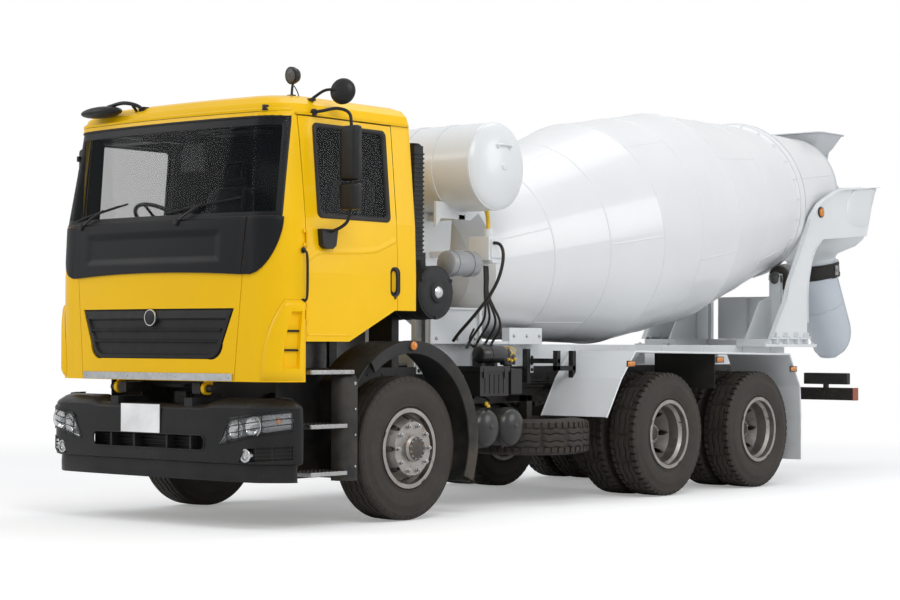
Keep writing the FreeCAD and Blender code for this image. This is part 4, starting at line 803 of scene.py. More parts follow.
black_panels()
screen_trim()
front_details()
corner_vents()
roof_details()
cab_extras()


# ------------------------------------------------------------ inside the cab

def cloth(name, colour, thread):
    """Woven seat cloth: crossed threads, fuzzy sheen and broad wear."""
    tree = Tree(name, Roughness=0.9, Sheen_Weight=0.35, Sheen_Roughness=0.5,
                Specular_IOR_Level=0.15)
    across = tree.add("TexWave", {"Vector": tree.place, "Scale": 260.0}, bands_direction="X")
    along = tree.add("TexWave", {"Vector": tree.place, "Scale": 260.0}, bands_direction="Y")
    weave = tree.math("MULTIPLY", across.outputs["Fac"], along.outputs["Fac"])
    worn = tree.ramp(tree.noise(5.0, 4.0), 0.35, 0.7)
    tone = tree.mix(worn, rgba(colour, 0.85), rgba(colour, 1.15))
    tree.colour(tree.mix(weave, tone, rgba(thread)))
    tree.bump(weave, 0.4, 0.0008)
    return tree.material


SEAT_CLOTH = cloth("ChairCloth", (0.035, 0.037, 0.042), (0.06, 0.062, 0.068))


def pad(name, centre, half, lean, channels, square=5.0, pull=0.05):
    """Crowned cushion: a rounded block whose sides pull in, with sewn channels across it."""
    bm = bmesh.new()
    bmesh.ops.create_cube(bm, size=2.0)
    bmesh.ops.subdivide_edges(bm, edges=bm.edges, cuts=17, use_grid_fill=True)
    turn = Matrix.Rotation(math.radians(lean), 3, "X")
    for vert in bm.verts:
        u, v, w = vert.co
        scale = (abs(u) ** square + abs(v) ** square + abs(w) ** square) ** (-1 / square)
        p = Vector((u, v, w)) * scale
        waist_u = 1 - pull * (1 - min(abs(p.y), 1) ** 4)
        waist_v = 1 - pull * (1 - min(abs(p.x), 1) ** 4)
        crown = 1 + 0.22 * (1 - p.x ** 2) * (1 - p.y ** 2) if p.z > 0 else 1.0
        place = Vector((p.x * half[0] * waist_u, p.y * half[1] * waist_v, p.z * half[2] * crown))
        if p.z > 0.3:
            for line in channels:
                place.z -= 9 * math.exp(-((p.y - line) / 0.035) ** 2)
            for line in (-0.62, 0.62):
                place.z -= 10 * math.exp(-((p.x - line) / 0.03) ** 2)
                place.z += 14 * max(abs(p.x) - 0.66, 0) / 0.34
        vert.co = Vector(centre) + turn @ place
    part = Part()
    part.bm.free()
    part.bm = bm
    thing = part.done(name, SEAT_CLOTH, "cab", angle=80, subdivide=1)
    return thing


def seats():
    """Two sprung seats with head rests and belts of their own."""
    frames = Part()
    for name, x in (("Left", 620), ("Right", -620)):
        pad(f"Cushion_{name}", (x, -380, 1822), (250, 262, 58), 0, (-0.35, 0.0, 0.35))
        pad(f"Backrest_{name}", (x, -98, 2160), (238, 345, 50), 81, (-0.5, -0.15, 0.2, 0.55))
        pad(f"Head_Rest_{name}", (x, -6, 2610), (130, 82, 38), 82, (), 3.6)
        frames.box(x - 215, x + 215, -560, -140, 1735, 1762)
        for z in (1600, 1634, 1668, 1702):
            frames.box(x - 190, x + 190, -530, -170, z, z + 24)
        frames.box(x - 225, x + 225, -570, -130, 1590, 1600)
        for dx in (-52, 52):
            frames.rod((x + dx, -22, 2470), (x + dx, -8, 2580), 7)
        frames.box(x - 262, x - 244, -330, -230, 1772, 1830)
        frames.tube([(x - 258, -420, 1755), (x - 262, -560, 1750), (x - 262, -620, 1752)], 8, 8)
    frames.done("Chair_Frames", "trim_dark", "cab", bevel=5)


def dash():
    """Dashboard with hood, dials, vents and centre panel, and the steering wheel."""
    part = Part()
    plan = [(-1086, -1110), (-1086, -1165), (-820, -1375), (820, -1375), (1086, -1165),
            (1086, -1110)]
    part.prism("XY", plan, 1350, 2072)
    part.prism("YZ", [(-1112, 1350), (-1112, 2072), (-1040, 2066), (-1004, 2020), (-1000, 1905),
                      (-1058, 1705)], -1078, 1078)
    part.prism("YZ", [(-1180, 2060), (-1010, 2040), (-990, 2105), (-1010, 2140), (-1060, 2158),
                      (-1180, 2110)], -800, -320)
    part.prism("YZ", [(-1090, 1660), (-1022, 1690), (-968, 1900), (-982, 2052), (-1090, 2064)],
               -170, 170)
    part.done("Dash_Board", "trim_dark", "cab", bevel=18, segments=3, replaces=("cab_interior",))
    part = Part()
    part.prism("YZ", [(-1004, 2046), (-1000, 2046), (-984, 2102), (-988, 2102)], -780, -340)
    for x in (-130, 0, 130):
        part.box(x - 40, x + 40, -975, -966, 1960, 2010)
    for x in (-950, 500, 950):
        for z in (1950, 1966, 1982, 1998):
            part.box(x - 60, x + 60, -1004, -994, z, z + 6)
    for x in (-90, 0, 90):
        part.lathe([(0, 0), (20, 0), (17, 22), (0, 24)], (x, -988, 1830), (0, 0.9, 0.2), 24)
    part.done("Dash_Vents", "black_plastic", "cab", bevel=2)
    part = Part()
    for x, r in ((-660, 42), (-560, 30), (-460, 42)):
        part.lathe([(r, 0), (r, 6), (r + 5, 6), (r + 5, 0)], (x, -992, 2080),
                   (0, 0.96, 0.28), 40, closed=True)
        part.lathe([(0, 1), (r, 1), (r, 2), (0, 2)], (x, -992, 2080), (0, 0.96, 0.28), 40)
    part.done("Dash_Dials", SILVER, "cab")
    lean = Vector((0, math.sin(math.radians(35)), math.cos(math.radians(35))))
    hub = Vector((-560, -830, 2170))
    part = Part()
    ring = [(225 + 15 * math.cos(a), 15 * math.sin(a)) for a in
            (2 * math.pi * k / 12 for k in range(12))]
    part.lathe(ring, hub, lean, 72, closed=True)
    across = Vector((1, 0, 0))
    ahead = lean.cross(across)
    for angle in (25, 155, 270):
        out = across * math.cos(math.radians(angle)) + ahead * math.sin(math.radians(angle))
        part.tube([hub - lean * 14 + out * 40, hub - lean * 14 + out * 130, hub + out * 222],
                  11, 10)
    part.lathe([(0, 10), (52, 6), (68, -8), (68, -26), (0, -34)], hub, lean, 40)
    part.lathe([(30, -30), (34, -60), (34, -440), (0, -440)], hub, lean, 28)
    part.tube([hub - lean * 60, hub - lean * 66 + across * 90, hub - lean * 56 + across * 190],
              7, 8)
    part.tube([(-150, -560, 1592), (-156, -570, 1800), (-170, -600, 2010)], 11, 10)
    part.lathe([(0, 40), (26, 30), (32, 8), (24, -14), (12, -22), (0, -22)], (-170, -600, 2020),
               (0, 0, 1), 28)
    part.lathe([(70, 0), (52, 20), (44, 60), (26, 90), (14, 110), (0, 110)], (-150, -560, 1590),
               (0, 0, 1), 32)
    part.done("Steering_Wheel", "black_plastic", "cab", angle=50)
    part = Part()
    turn = Matrix.Rotation(math.radians(-12), 3, "X")
    for x0, x1 in ((-820, -90), (90, 820)):
        part.box(x0, x1, -1214, -1198, 2770, 2872, turn)
    part.done("Sun_Visors", "trim_dark", "cab", bevel=8, segments=3)
    part = Part()
    part.box(130, 330, -1262, -1236, 2560, 2680)
    part.tube([(210, -1262, 2660), (150, -1268, 2760), (70, -1282, 2885)], 8, 8)
    part.done("Inner_Mirror", "black_plastic", "cab", bevel=14, segments=3)


seats()
dash()


# ------------------------------------------------------------ door trim and mirrors

DOORS = Skin("door_left", "door_right", "door_glass_left", "door_glass_right", "cab_shell")


def door_point(y, z, proud, sign=1):
    p = DOORS.hit((sign * 2000, y, z), (-sign, 0, 0))
    return p + Vector((sign * proud, 0, 0))


def window_trim():
    """Window seal, handle and pressed crease of each door."""
    for sign, name in ((1, "left"), (-1, "right")):
        part = Part()
        loop = []
        outline = rounded(-978, -237, 2144, 2793, 52)
        for y, z in outline:
            loop.append(door_point(min(max(y, -975), -240), min(max(z, 2147), 2790), 3, sign))
        rows = []
        centre = Vector((0, -607, 2468))
        for p in loop:
            inward = Vector((0, centre.y - p.y, centre.z - p.z)).normalized()
            face = Vector((sign, 0, 0))
            rows.append([p - inward * 12 + face * -2, p - inward * 10 + face * 5,
                         p + inward * 4 + face * 8, p + inward * 22 + face * 6,
                         p + inward * 34 + face * -3, p + inward * 36 + face * -12])
        rows.append(rows[0])
        part.grid(rows, thick=4)
        part.tube([door_point(y, 2165, 9, sign) for y in (-930, -600, -285)], 5, 6, 3)
        part.done(f"Window_Seal_{name.capitalize()}", SEAL, f"{name}_door", angle=60)
        part = Part()
        face = Vector((sign, 0, 0))
        rows = []
        for y, z in rounded(-176, -74, 1612, 1824, 40):
            p = Vector((door_point(-190, z, 0, sign).x, y - 66, z))
            mid = Vector((p.x, -195, 1718))
            rows.append([p + face * 1, p + face * 7 + (mid - p) * 0.06,
                         p + face * 5 + (mid - p) * 0.2, p + face * -8 + (mid - p) * 0.4,
                         mid + face * -10])
        rows.append(rows[0])
        part.grid(rows, thick=3)
        x = door_point(-195, 1718, 0, sign).x
        part.tube([(x, -195, 1806), (x + sign * 20, -195, 1782), (x + sign * 24, -195, 1718),
                   (x + sign * 20, -195, 1654), (x, -195, 1630)], 11, 8)
        part.bolt((x + sign * 4, -195, 1606), face, 12, 5, False)
        part.done(f"Door_Handle_{name.capitalize()}", "mirror_black", f"{name}_door", angle=50)
        part = Part()
        crease = [(-1085, 1838), (-1030, 1872), (-960, 1896), (-700, 1906), (-420, 1924),
                  (-300, 1960), (-185, 2004)]
        path = smooth_path([(0, y, z) for y, z in crease], 5)
        rows = []
        for p in path:
            base = door_point(p.y, p.z, 0, sign)
            rows.append([base + Vector((sign * h, 0, d)) for h, d in
                         ((-3, 46), (2.5, 26), (6, 8), (6.5, 0), (3, -9), (-3, -14))])
        part.grid(rows)
        low = [door_point(y, 1334, 0, sign) for y in (-1090, -980, -860, -740, -665)]
        rows = [[p + Vector((sign * h, 0, d)) for h, d in ((-3, 16), (4, 6), (5, -4), (-3, -12))]
                for p in low]
        part.grid(rows)
        part.done(f"Door_Crease_{name.capitalize()}", "cab_yellow", f"{name}_door", angle=70)


def side_mirrors():
    """Mirror arms with their brackets, heads and faces."""
    for sign, name in ((1, "left"), (-1, "right")):
        def v(x, y, z):
            return Vector((sign * x, y, z))
        part = Part()
        part.tube([v(1122, -972, 2868), v(1180, -940, 2876), v(1255, -880, 2893),
                   v(1345, -858, 2862), v(1372, -858, 2780), v(1374, -858, 2560),
                   v(1374, -858, 2330), v(1372, -862, 2200), v(1350, -872, 2110),
                   v(1280, -895, 2060), v(1196, -910, 2040)], 12, 10)
        part.lathe([(0, 0), (24, 0), (26, 6), (24, 30), (0, 32)], v(1112, -975, 2866), v(1, 0.3, 0),
                   20)
        outline = [(1192, -992, 2062), (1192, -828, 2062), (1192, -846, 1950), (1192, -880, 1926),
                   (1192, -946, 1926), (1192, -980, 1950)]
        ring = [v(*p) for p in outline]
        top = [p + Vector((sign * 38, 0, 0)) for p in ring]
        part.bridge([p + Vector((sign * -10, 0, 0)) for p in ring], top)
        for z0, z1 in ((2392, 2770), (2190, 2376)):
            middle_z = (z0 + z1) / 2
            part.lathe([(0, -24), (20, -24), (20, 24), (0, 24)], v(1374, -858, middle_z), (0, 0, 1),
                       16)
            part.box(*sorted((sign * 1352, sign * 1396)), -880, -842, middle_z - 24,
                     middle_z + 24)
        part.done(f"Mirror_Arm_{name.capitalize()}", "mirror_black", f"{name}_door", bevel=3,
                  replaces=(f"mirror_{name}",))
        heads, faces = Part(), Part()
        for z0, z1 in ((2392, 2770), (2190, 2376)):
            x0, x1, r = 1290, 1456, 26
            shape = rounded(x0, x1, z0, z1, r, 5)
            cx, cz = (x0 + x1) / 2, (z0 + z1) / 2
            rows = []
            for scale, y in ((0.55, -905), (0.78, -902), (0.92, -892), (1.0, -872), (1.0, -846),
                             (0.97, -840), (0.93, -843)):
                rows.append([v(cx + (x - cx) * scale, y, cz + (z - cz) *
                               (1 - (1 - scale) * 0.55)) for x, z in shape])
            heads.grid(rows, closed=True)
            heads.faces(rows[0], [tuple(range(len(shape)))])
            heads.faces(rows[-1], [tuple(range(len(shape)))])
            rim = [v(cx + (x - cx) * 0.93, -842, cz + (z - cz) * 0.96) for x, z in shape]
            plate = [p + Vector((0, 2, 0)) for p in rim]
            faces.bridge(rim, plate)
        heads.done(f"Mirror_Heads_{name.capitalize()}", "mirror_black", f"{name}_door", angle=50)
        faces.done(f"Mirror_Faces_{name.capitalize()}", MIRROR, f"{name}_door", "mirror_black")


window_trim()
side_mirrors()


# ------------------------------------------------------------ bumper, lamps and steps

def carve(thing, *parts):
    """Cuts parts out of a piece and keeps the clean mesh."""
    for part in parts:
        cutter = bpy.data.objects.new("cutter", part.mesh("cutter"))
        scene.collection.objects.link(cutter)
        tool = thing.modifiers.new("Carve", "BOOLEAN")
        tool.operation = "DIFFERENCE"
        tool.solver = "EXACT"
        tool.object = cutter
        bpy.context.view_layer.update()
        shaped = thing.evaluated_get(bpy.context.evaluated_depsgraph_get())
        made = bpy.data.meshes.new_from_object(shaped)
        thing.modifiers.clear()
        thing.data = made
        bpy.data.objects.remove(cutter)
    thing.data.set_sharp_from_angle(angle=math.radians(32))
    return thing


BUMPER = smooth_path([(0, -1470, 0), (300, -1470, 0), (600, -1468, 0), (850, -1456, 0),
                      (1000, -1440, 0), (1085, -1395, 0), (1160, -1330, 0), (1220, -1262, 0),
                      (1243, -1215, 0), (1243, -1180, 0)], 5)


def bumper_row(inset, level):
    """Points of one level round the whole front; inset and level may vary across."""
    half = []
    for i, p in enumerate(BUMPER):
        a, b = BUMPER[max(i - 1, 0)], BUMPER[min(i + 1, len(BUMPER) - 1)]
        ahead = (b - a).normalized()
        inward = Vector((-ahead.y, ahead.x, 0))
        q = p + inward * inset(p.x)
        half.append(Vector((q.x, q.y, level(p.x))))
    left = [Vector((-q.x, q.y, q.z)) for q in half[:0:-1]]
    return left + half


def bumper_face(x, inset=0.0):
    """The bumper's y at an x, on its skin or a little inside it."""
    x = abs(x)
    for a, b in zip(BUMPER, BUMPER[1:]):
        if a.x <= x <= b.x and b.x > a.x:
            return a.y + (b.y - a.y) * (x - a.x) / (b.x - a.x) + inset
    return -1215 + inset


def bumper():
    """Bumper with its slot and lamp openings, valance, blades and blank plate."""
    high = [(30, 452), (7, 460), (0, 478), (0, 560), (0, 660), (2, 760), (7, 836), (20, 852),
            (72, 886), (92, 893), (150, 899), (205, 901)]
    low = [(30, 452), (7, 460), (0, 478), (0, 560), (0, 660), (2, 740), (5, 818), (16, 830),
           (44, 846), (60, 850), (150, 852), (205, 853)]

    def blend(a, b):
        def value(x):
            t = min(max((abs(x) - 540) / 110, 0), 1)
            return a + (b - a) * t * t * (3 - 2 * t)
        return value
    rows = [bumper_row(blend(m[0], h[0]), blend(m[1], h[1])) for m, h in zip(low, high)]
    part = Part()
    part.grid(rows, thick=-9)
    skin = part.done("Bumper_Skin", "bumper_black", "chassis", replaces=("front_bumper",))
    slot = [(sx * (535 + 45 * math.cos(a)), 592 + sz * 52 * abs(math.sin(a)) ** 0.8)
            for sx, sz, turn in ((1, 1, 0), (-1, 1, 1), (-1, -1, 0), (1, -1, 1))
            for a in ((math.radians(90 - k * 15) if turn else math.radians(k * 15))
                      for k in range(7))]
    lamp = [(722, 590), (1226, 688), (1226, 818), (812, 764)]
    fog = [(900, 470), (1222, 490), (1222, 590), (940, 560)]
    cutters = [Part().prism("XZ", slot, -1700, -1300), Part().prism("XZ", lamp, -1700, -1225)]
    cutters.append(Part().prism("XZ", [(-x, z) for x, z in lamp], -1700, -1225))
    cutters.append(Part().prism("XZ", fog, -1700, -1245))
    cutters.append(Part().prism("XZ", [(-x, z) for x, z in fog], -1700, -1245))
    carve(skin, *cutters)

    part = Part()
    flat = bumper_row(lambda x: 46, lambda x: 328)
    keep = [p for p in flat if abs(p.x) < 1199]
    lips = [(0, 332), (-6, 340), (-8, 400), (-2, 470)]
    part.grid([[Vector((p.x, p.y + dy, z)) for p in keep] for dy, z in lips], thick=-8)
    part.done("Bumper_Valance", "bumper_black", "chassis")

    part = Part()
    outline = [(x, bumper_face(x, -3 if k else 0), z) for k, (x, z) in enumerate(slot)]
    part.tube(outline + outline[:1], 5, 6, smooth=False, ends=False)
    for x in (-395, -150, 190, 430):
        part.box(x - 9, x + 9, -1462, -1370, 530, 655)
    part.box(-590, 590, -1372, -1364, 525, 660)
    for z in (566, 592, 618):
        part.box(-575, 575, -1396, -1384, z - 3, z + 3)
    part.box(-700, 700, -1352, -1346, 470, 650)
    for x in (-1, 1):
        part.box(x * 385 - 40, x * 385 + 40, -1440, -1150, 816, 896)
    for sign in (1, -1):
        rows = []
        for x in (893, 950, 1010, 1070, 1130, 1180, 1226):
            y = bumper_face(x)
            rows.append([Vector((sign * x, y + 3, 594)), Vector((sign * x, y + 44, 588)),
                         Vector((sign * x, y + 48, 480)), Vector((sign * x, y + 3, 466))])
        part.grid(rows, thick=3)
        rows = [[Vector((sign * (893 + d), bumper_face(893) + y, z)) for d, y in
                 ((0, 0), (16, 46))] for z in (470, 590)]
        part.grid(rows, thick=3)
    part.done("Slot_Blades", "grille_black", "chassis", bevel=2)

    part = Part()
    part.prism("XZ", [(-271, 646), (133, 646), (133, 846), (-271, 846)], -1479.5, -1473)
    part.done("Plate_Blank", PLATE, "chassis", bevel=2)
    part = Part()
    part.prism("XZ", [(-277, 640), (139, 640), (139, 852), (-277, 852)], -1475, -1468)
    for x in (-190, 52):
        part.bolt((x, -1474, 829), (0, -1, 0), 6, 4, False)
    part.done("Plate_Holder", "grille_black", "chassis", bevel=2)


def lamp_point(x, z, inset, sign=1):
    return Vector((sign * x, bumper_face(x) + inset, z))


def headlamps():
    """Clear units with two round reflectors, an amber bulb and a wire guard."""
    low = lambda x: 590 + (x - 722) * 98 / 504
    high = lambda x: 764 + (x - 812) * 54 / 414 if x > 812 else 590 + (x - 722) * 174 / 90
    stations = [722 + 504 * k / 24 for k in range(25)]
    housing, frame_part, lens = Part(), Part(), Part()
    bowls, amber, bulbs, guard = Part(), Part(), Part(), Part()
    for sign in (1, -1):
        rows = []
        for x in stations:
            rows.append([lamp_point(x, between(low(x) - 4, high(x) + 4, t),
                                    40 + 8 * math.sin(4 * math.pi * t), sign)
                         for t in (k / 8 for k in range(9))])
        housing.grid(rows, thick=3)
        rim = [lamp_point(x, low(x), -2, sign) for x in stations]
        rim += [lamp_point(x, high(x), -2, sign) for x in stations[::-1]]
        frame_part.tube(rim + rim[:1], 6, 8, smooth=False, ends=False)
        rows = [[lamp_point(x, between(low(x), high(x), t), 3 - 7 * math.sin(math.pi * t), sign)
                 for t in (k / 6 for k in range(7))] for x in stations]
        lens.grid(rows, thick=2.5)
        for x, z, r in ((862, 690, 66), (1010, 716, 74)):
            place = lamp_point(x, z, 44, sign)
            profile = [(r, -34), (r - 3, -36), (r - 7, -30)]
            profile += [(between(r - 7, 16, k / 6), -30 + 26 * math.sin(k / 6 * math.pi / 2))
                        for k in range(1, 7)]
            bowls.lathe(profile, place, (0, 1, 0), 36)
            bulbs.lathe([(0, -30), (9, -29), (15, -22), (15, -4), (0, -2)], place, (0, 1, 0), 20)
        place = lamp_point(1140, 752, 36, sign)
        amber.lathe([(0, -26), (12, -23), (20, -12), (22, 6), (0, 8)], place, (0, 1, 0), 24)
        for t in (0.06, 0.36, 0.66, 0.95):
            guard.tube([lamp_point(x, between(low(x), high(x), t), -9, sign)
                        for x in range(790, 1231, 44)], 3.2, 6, 2)
        for x in (800, 905, 1075, 1222):
            guard.tube([lamp_point(x, z, -9, sign)
                        for z in (low(x) - 16, (low(x) + high(x)) / 2, high(x) + 10)],
                       3.2, 6, 2)
        for z in (497, 523, 549, 575):
            guard.tube([lamp_point(x, z + (x - 1020) * 0.06, -6, sign)
                        for x in range(1025, 1236, 30)], 3.0, 6, 2)
        for x in (1040, 1130, 1215):
            guard.tube([lamp_point(x, z, -6, sign) for z in (488, 535, 592)], 3.0, 6, 2)
    housing.done("Lamp_Housings", LAMP_BACK, "chassis",
                 replaces=("headlights",))
    frame_part.done("Lamp_Frames", "bumper_black", "chassis")
    lens.done("Lamp_Lenses", CLEAR, "chassis")
    bowls.done("Lamp_Bowls", CHROME, "chassis")
    bulbs.done("Lamp_Bulbs", "lamp_glass", "chassis")
    amber.done("Lamp_Ambers", AMBER, "chassis")
    guard.done("Lamp_Guards", "grille_black", "chassis")
    ring, glass = Part(), Part()
    for sign in (1, -1):
        place = lamp_point(952, 517, 30, sign)
        ring.lathe([(34, -30), (46, -30), (49, -24), (49, 12), (34, 12)], place, (0, 1, 0), 32,
                   closed=True)
        ring.lathe([(33, -18), (26, -2), (10, 8), (0, 9)], place, (0, 1, 0), 32)
        glass.lathe([(0, -28), (14, -27), (28, -23), (35, -17), (35, -12), (0, -12)], place,
                    (0, 1, 0), 32)
    ring.done("Fog_Rings", CHROME, "chassis")
    glass.done("Fog_Glasses", "lamp_glass", "chassis")


def steps():
    """Pressed treads with raised grips, their bright worn edges, and the arch lips."""
    worn, grip = Part(), Part()
    x0, x1 = 856, 1196
    for sign in (1, -1):
        for z in (390, 717, 1090):
            a, b = sorted((sign * x0, sign * x1))
            worn.box(a, b, -1066, -1052, z - 26, z + 3)
            worn.box(sign * 1196 - 7, sign * 1196 + 7, -1062, -630, z - 26, z + 3)
            for i in range(9):
                for j in range(10):
                    place = (sign * (x0 + 24 + 36 * i), -1030 + 40 * j, z)
                    grip.lathe([(6, 0), (8, 5), (11, 5), (14, 0)], place, (0, 0, 1), 8)
        for z in (430, 560, 760, 880, 1000):
            grip.bolt((sign * 1200, -640, z), (sign, 0, 0), 9, 5)
    worn.done("Step_Edges", "bare_steel", "chassis", bevel=3)
    grip.done("Step_Grips", "chassis_black", "chassis")
    lip, lamp, holder = Part(), Part(), Part()
    for sign in (1, -1):
        arc = []
        for k in range(33):
            a = math.radians(128 - k * 4.9)
            y, z = -20 + 735 * math.cos(a), 560 + 735 * math.sin(a)
            if y < -622 or z < 250:
                continue
            arc.append((y, z))
        rows = []
        for y, z in arc:
            out = Vector((0, y + 20, z - 560)).normalized()
            base = Vector((sign * 1200, y, z))
            rows.append([base + out * -88 + Vector((sign * -4, 0, 0)), base + out * -86 +
                         Vector((sign * 8, 0, 0)), base + out * -22 + Vector((sign * 22, 0, 0)),
                         base + out * 5 + Vector((sign * 20, 0, 0)), base + out * 6 +
                         Vector((sign * -30, 0, 0)), base + out * -2 + Vector((sign * -30, 0, 0))])
        lip.grid(rows, closed=True)
        centre = Vector((sign * 1216, -31, 1262))
        holder.lathe([(0, 0), (36, 0), (38, 6), (34, 12), (0, 12)], centre, (sign, 0, 0), 28)
        lamp.lathe([(0, 34), (14, 33), (25, 28), (31, 20), (32, 10), (0, 10)], centre,
                   (sign, 0, 0), 28)
        across = sorted(sign * x for x in range(856, 1201, 12))
        flap = [[Vector((x, y, z)) for x in across]
                for y, z in ((709, 236), (714, 330), (716, 430), (714, 540))]
        lip.grid(flap, thick=8)
    lip.done("Arch_Lips", "black_plastic", "chassis", bevel=2)
    holder.done("Arch_Lamp_Bases", "black_plastic", "chassis", bevel=2)
    lamp.done("Arch_Lamps", AMBER, "chassis")


bumper()
headlamps()
steps()


# ------------------------------------------------------------ tyres and wheel details

class Turned:
    """Points round a wheel: along its axis, at a radius, at an angle."""

    def __init__(self, centre, axis):
        self.centre, self.axis = Vector(centre), Vector(axis).normalized()
        self.side = Vector((0, 1, 0))
        self.up = self.axis.cross(self.side).normalized()

    def point(self, along, radius, angle):
        out = self.side * math.cos(angle) + self.up * math.sin(angle)
        return self.centre + self.axis * along + out * radius


SIDEWALL = [(282, 122), (296, 126), (306, 137), (312, 138), (318, 134), (330, 137), (352, 142),
            (385, 144.5), (412, 144), (420, 144.6), (424, 143), (455, 138), (478, 132),
            (482, 133), (486, 130), (500, 125), (507, 118)]


def tyre_mesh(part, centre, axis, lugs, n=96):
    """Sidewalls with moulded rings, zigzag ribs and shoulder blocks between grooves."""
    wheel = Turned(centre, axis)
    section = [(r, -x) for r, x in SIDEWALL] + [(505, -100), (505, 100)]
    section += SIDEWALL[::-1] + [(276, 108), (276, -108)]
    rows = [[wheel.point(x, r, 2 * math.pi * k / n) for r, x in section] for k in range(n)]
    points = [p for row in rows for p in row]
    m = len(section)
    faces = [(i * m + j, i * m + (j + 1) % m, ((i + 1) % n) * m + (j + 1) % m,
              ((i + 1) % n) * m + j) for i in range(n) for j in range(m)]
    part.faces(points, faces)
    ribs = [(-24, 24), (-70, -34), (34, 70)]
    if not lugs:
        ribs += [(-116, -80), (80, 116)]
    teeth = 112
    for low, high in ribs:
        rows = []
        for k in range(teeth):
            angle = 2 * math.pi * k / teeth
            zig = 4.5 if k % 4 in (0, 1) else -4.5
            a = low + (zig if low > -100 else 0)
            b = high + (zig if high < 100 else 0)
            crown = 521.8 - 0.0003 * ((a + b) / 2) ** 2
            cut = 503 if lugs and k % 8 == 0 else crown
            rows.append([wheel.point(x, r, angle) for x, r in
                         ((a - 2, 503), (a, cut - 1), (a + 3, cut), (b - 3, cut), (b, cut - 1),
                          (b + 2, 503))])
        m = 6
        points = [p for row in rows for p in row]
        part.faces(points, [(i * m + j, i * m + j + 1, ((i + 1) % teeth) * m + j + 1,
                             ((i + 1) % teeth) * m + j)
                            for i in range(teeth) for j in range(m - 1)])
    count = 52
    for k in range(count):
        for sign in (1, -1):
            a0 = 2 * math.pi * (k + (0.5 if sign > 0 else 0)) / count
            a1 = a0 + 2 * math.pi * (0.68 if lugs else 0.9) / count
            ring = []
            if lugs:
                outline = [(sign * 80, 504), (sign * 80, 521), (sign * 116, 518.5),
                           (sign * 126, 506), (sign * 131, 486), (sign * 124, 480)]
            else:
                outline = [(sign * 117, 512), (sign * 121, 511), (sign * 127.5, 500),
                           (sign * 131, 486), (sign * 124, 480), (sign * 112, 500)]
            for angle in (a0, a1):
                ring += [wheel.point(x, r, angle + 0.012 * abs(x) / 120 * sign)
                         for x, r in outline]
            q = len(outline)
            part.faces(ring, [tuple(range(q))[::-1], tuple(range(q, 2 * q)),
                              *[(i, (i + 1) % q, q + (i + 1) % q, q + i) for i in range(q)]])


def nuts(part, skin, y, z, sign, radius, count, size=15, height=24, turn=0.0):
    for k in range(count):
        angle = 2 * math.pi * (k + turn) / count
        place = skin.hit((sign * 2000, y + radius * math.cos(angle),
                          z + radius * math.sin(angle)), (-sign, 0, 0))
        if place is None:
            continue
        part.bolt(place, (sign, 0, 0), size, height)
        part.rod(place, place + Vector((sign * (height + 9), 0, 0)), size * 0.5, 10)


def wheel_set(name, y, sign, node_rim, node_tyre, body, twin):
    """Tread, nuts, bead ring, hub cap and valve of one wheel or twin pair."""
    skin = Skin(node_rim)
    part = Part()
    middle_x = [1030 * sign] if not twin else [1055 * sign, 725 * sign]
    for x in middle_x:
        tyre_mesh(part, (x, y, HUB_Z), (sign, 0, 0), twin)
    part.done(f"{name}_Tread", "tyre_rubber", body, angle=30, replaces=(node_tyre,))
    part, dark = Part(), Part()
    nuts(part, skin, y, HUB_Z, sign, 167, 10, 16, 24)
    nuts(part, skin, y, HUB_Z, sign, 62 if twin else 74, 8 if twin else 12, 7, 7, 0.5)
    outer = middle_x[0] + sign * 125
    centre = Vector((outer, y, HUB_Z))
    bead = [(281, 1), (287, 4), (291, -2), (290, -14), (284, -22), (277, -22), (277, -6)]
    part.lathe(bead, centre, (sign, 0, 0), 96, closed=True)
    step = [(262, -38), (270, -34), (276, -26), (281, -26), (281, -44), (262, -48)]
    part.lathe(step, centre, (sign, 0, 0), 96, closed=True)
    part.done(f"{name}_Nuts", "bare_steel" if not twin else "wheel_steel", body)
    hub = skin.hit((sign * 2000, y, HUB_Z), (-sign, 0, 0))
    cap = 84 if not twin else 62
    dark.lathe([(0, 3), (cap * 0.55, 3), (cap * 0.6, 1.5), (cap * 0.9, 1.5), (cap, 0),
                (cap, -4)], hub, (sign, 0, 0), 40)
    stem = [centre + Vector((-sign * 34, 236 * math.cos(0.4), 236 * math.sin(0.4))),
            centre + Vector((-sign * 10, 230 * math.cos(0.4), 230 * math.sin(0.4))),
            centre + Vector((sign * 2, 214 * math.cos(0.4), 214 * math.sin(0.4)))]
    dark.tube(stem, 5, 8, 4)
    for angle in (1.9, 4.4):
        edge = [(280, 2), (285, 6), (291, 7), (291, 12), (281, 13), (276, 6)]
        dark.lathe(edge, centre, (sign, 0, 0), 5, start=math.degrees(angle), sweep=9,
                   closed=True)
    dark.done(f"{name}_Hub_Cap", "cast_steel", body)


for sign, side in ((1, "left"), (-1, "right")):
    label = side.capitalize()
    wheel_set(f"Front_{label}", 0, sign, f"front_rim_{side}", f"front_tyre_{side}",
              f"front_{side}_wheel", False)
    for place, y in (("mid", MID_AXLE), ("rear", REAR_AXLE)):
        wheel_set(f"{place.capitalize()}_{label}", y, sign, f"{place}_rims_{side}",
                  f"{place}_tyres_{side}", f"{place}_{side}_wheels", True)


# ------------------------------------------------------------ chassis equipment

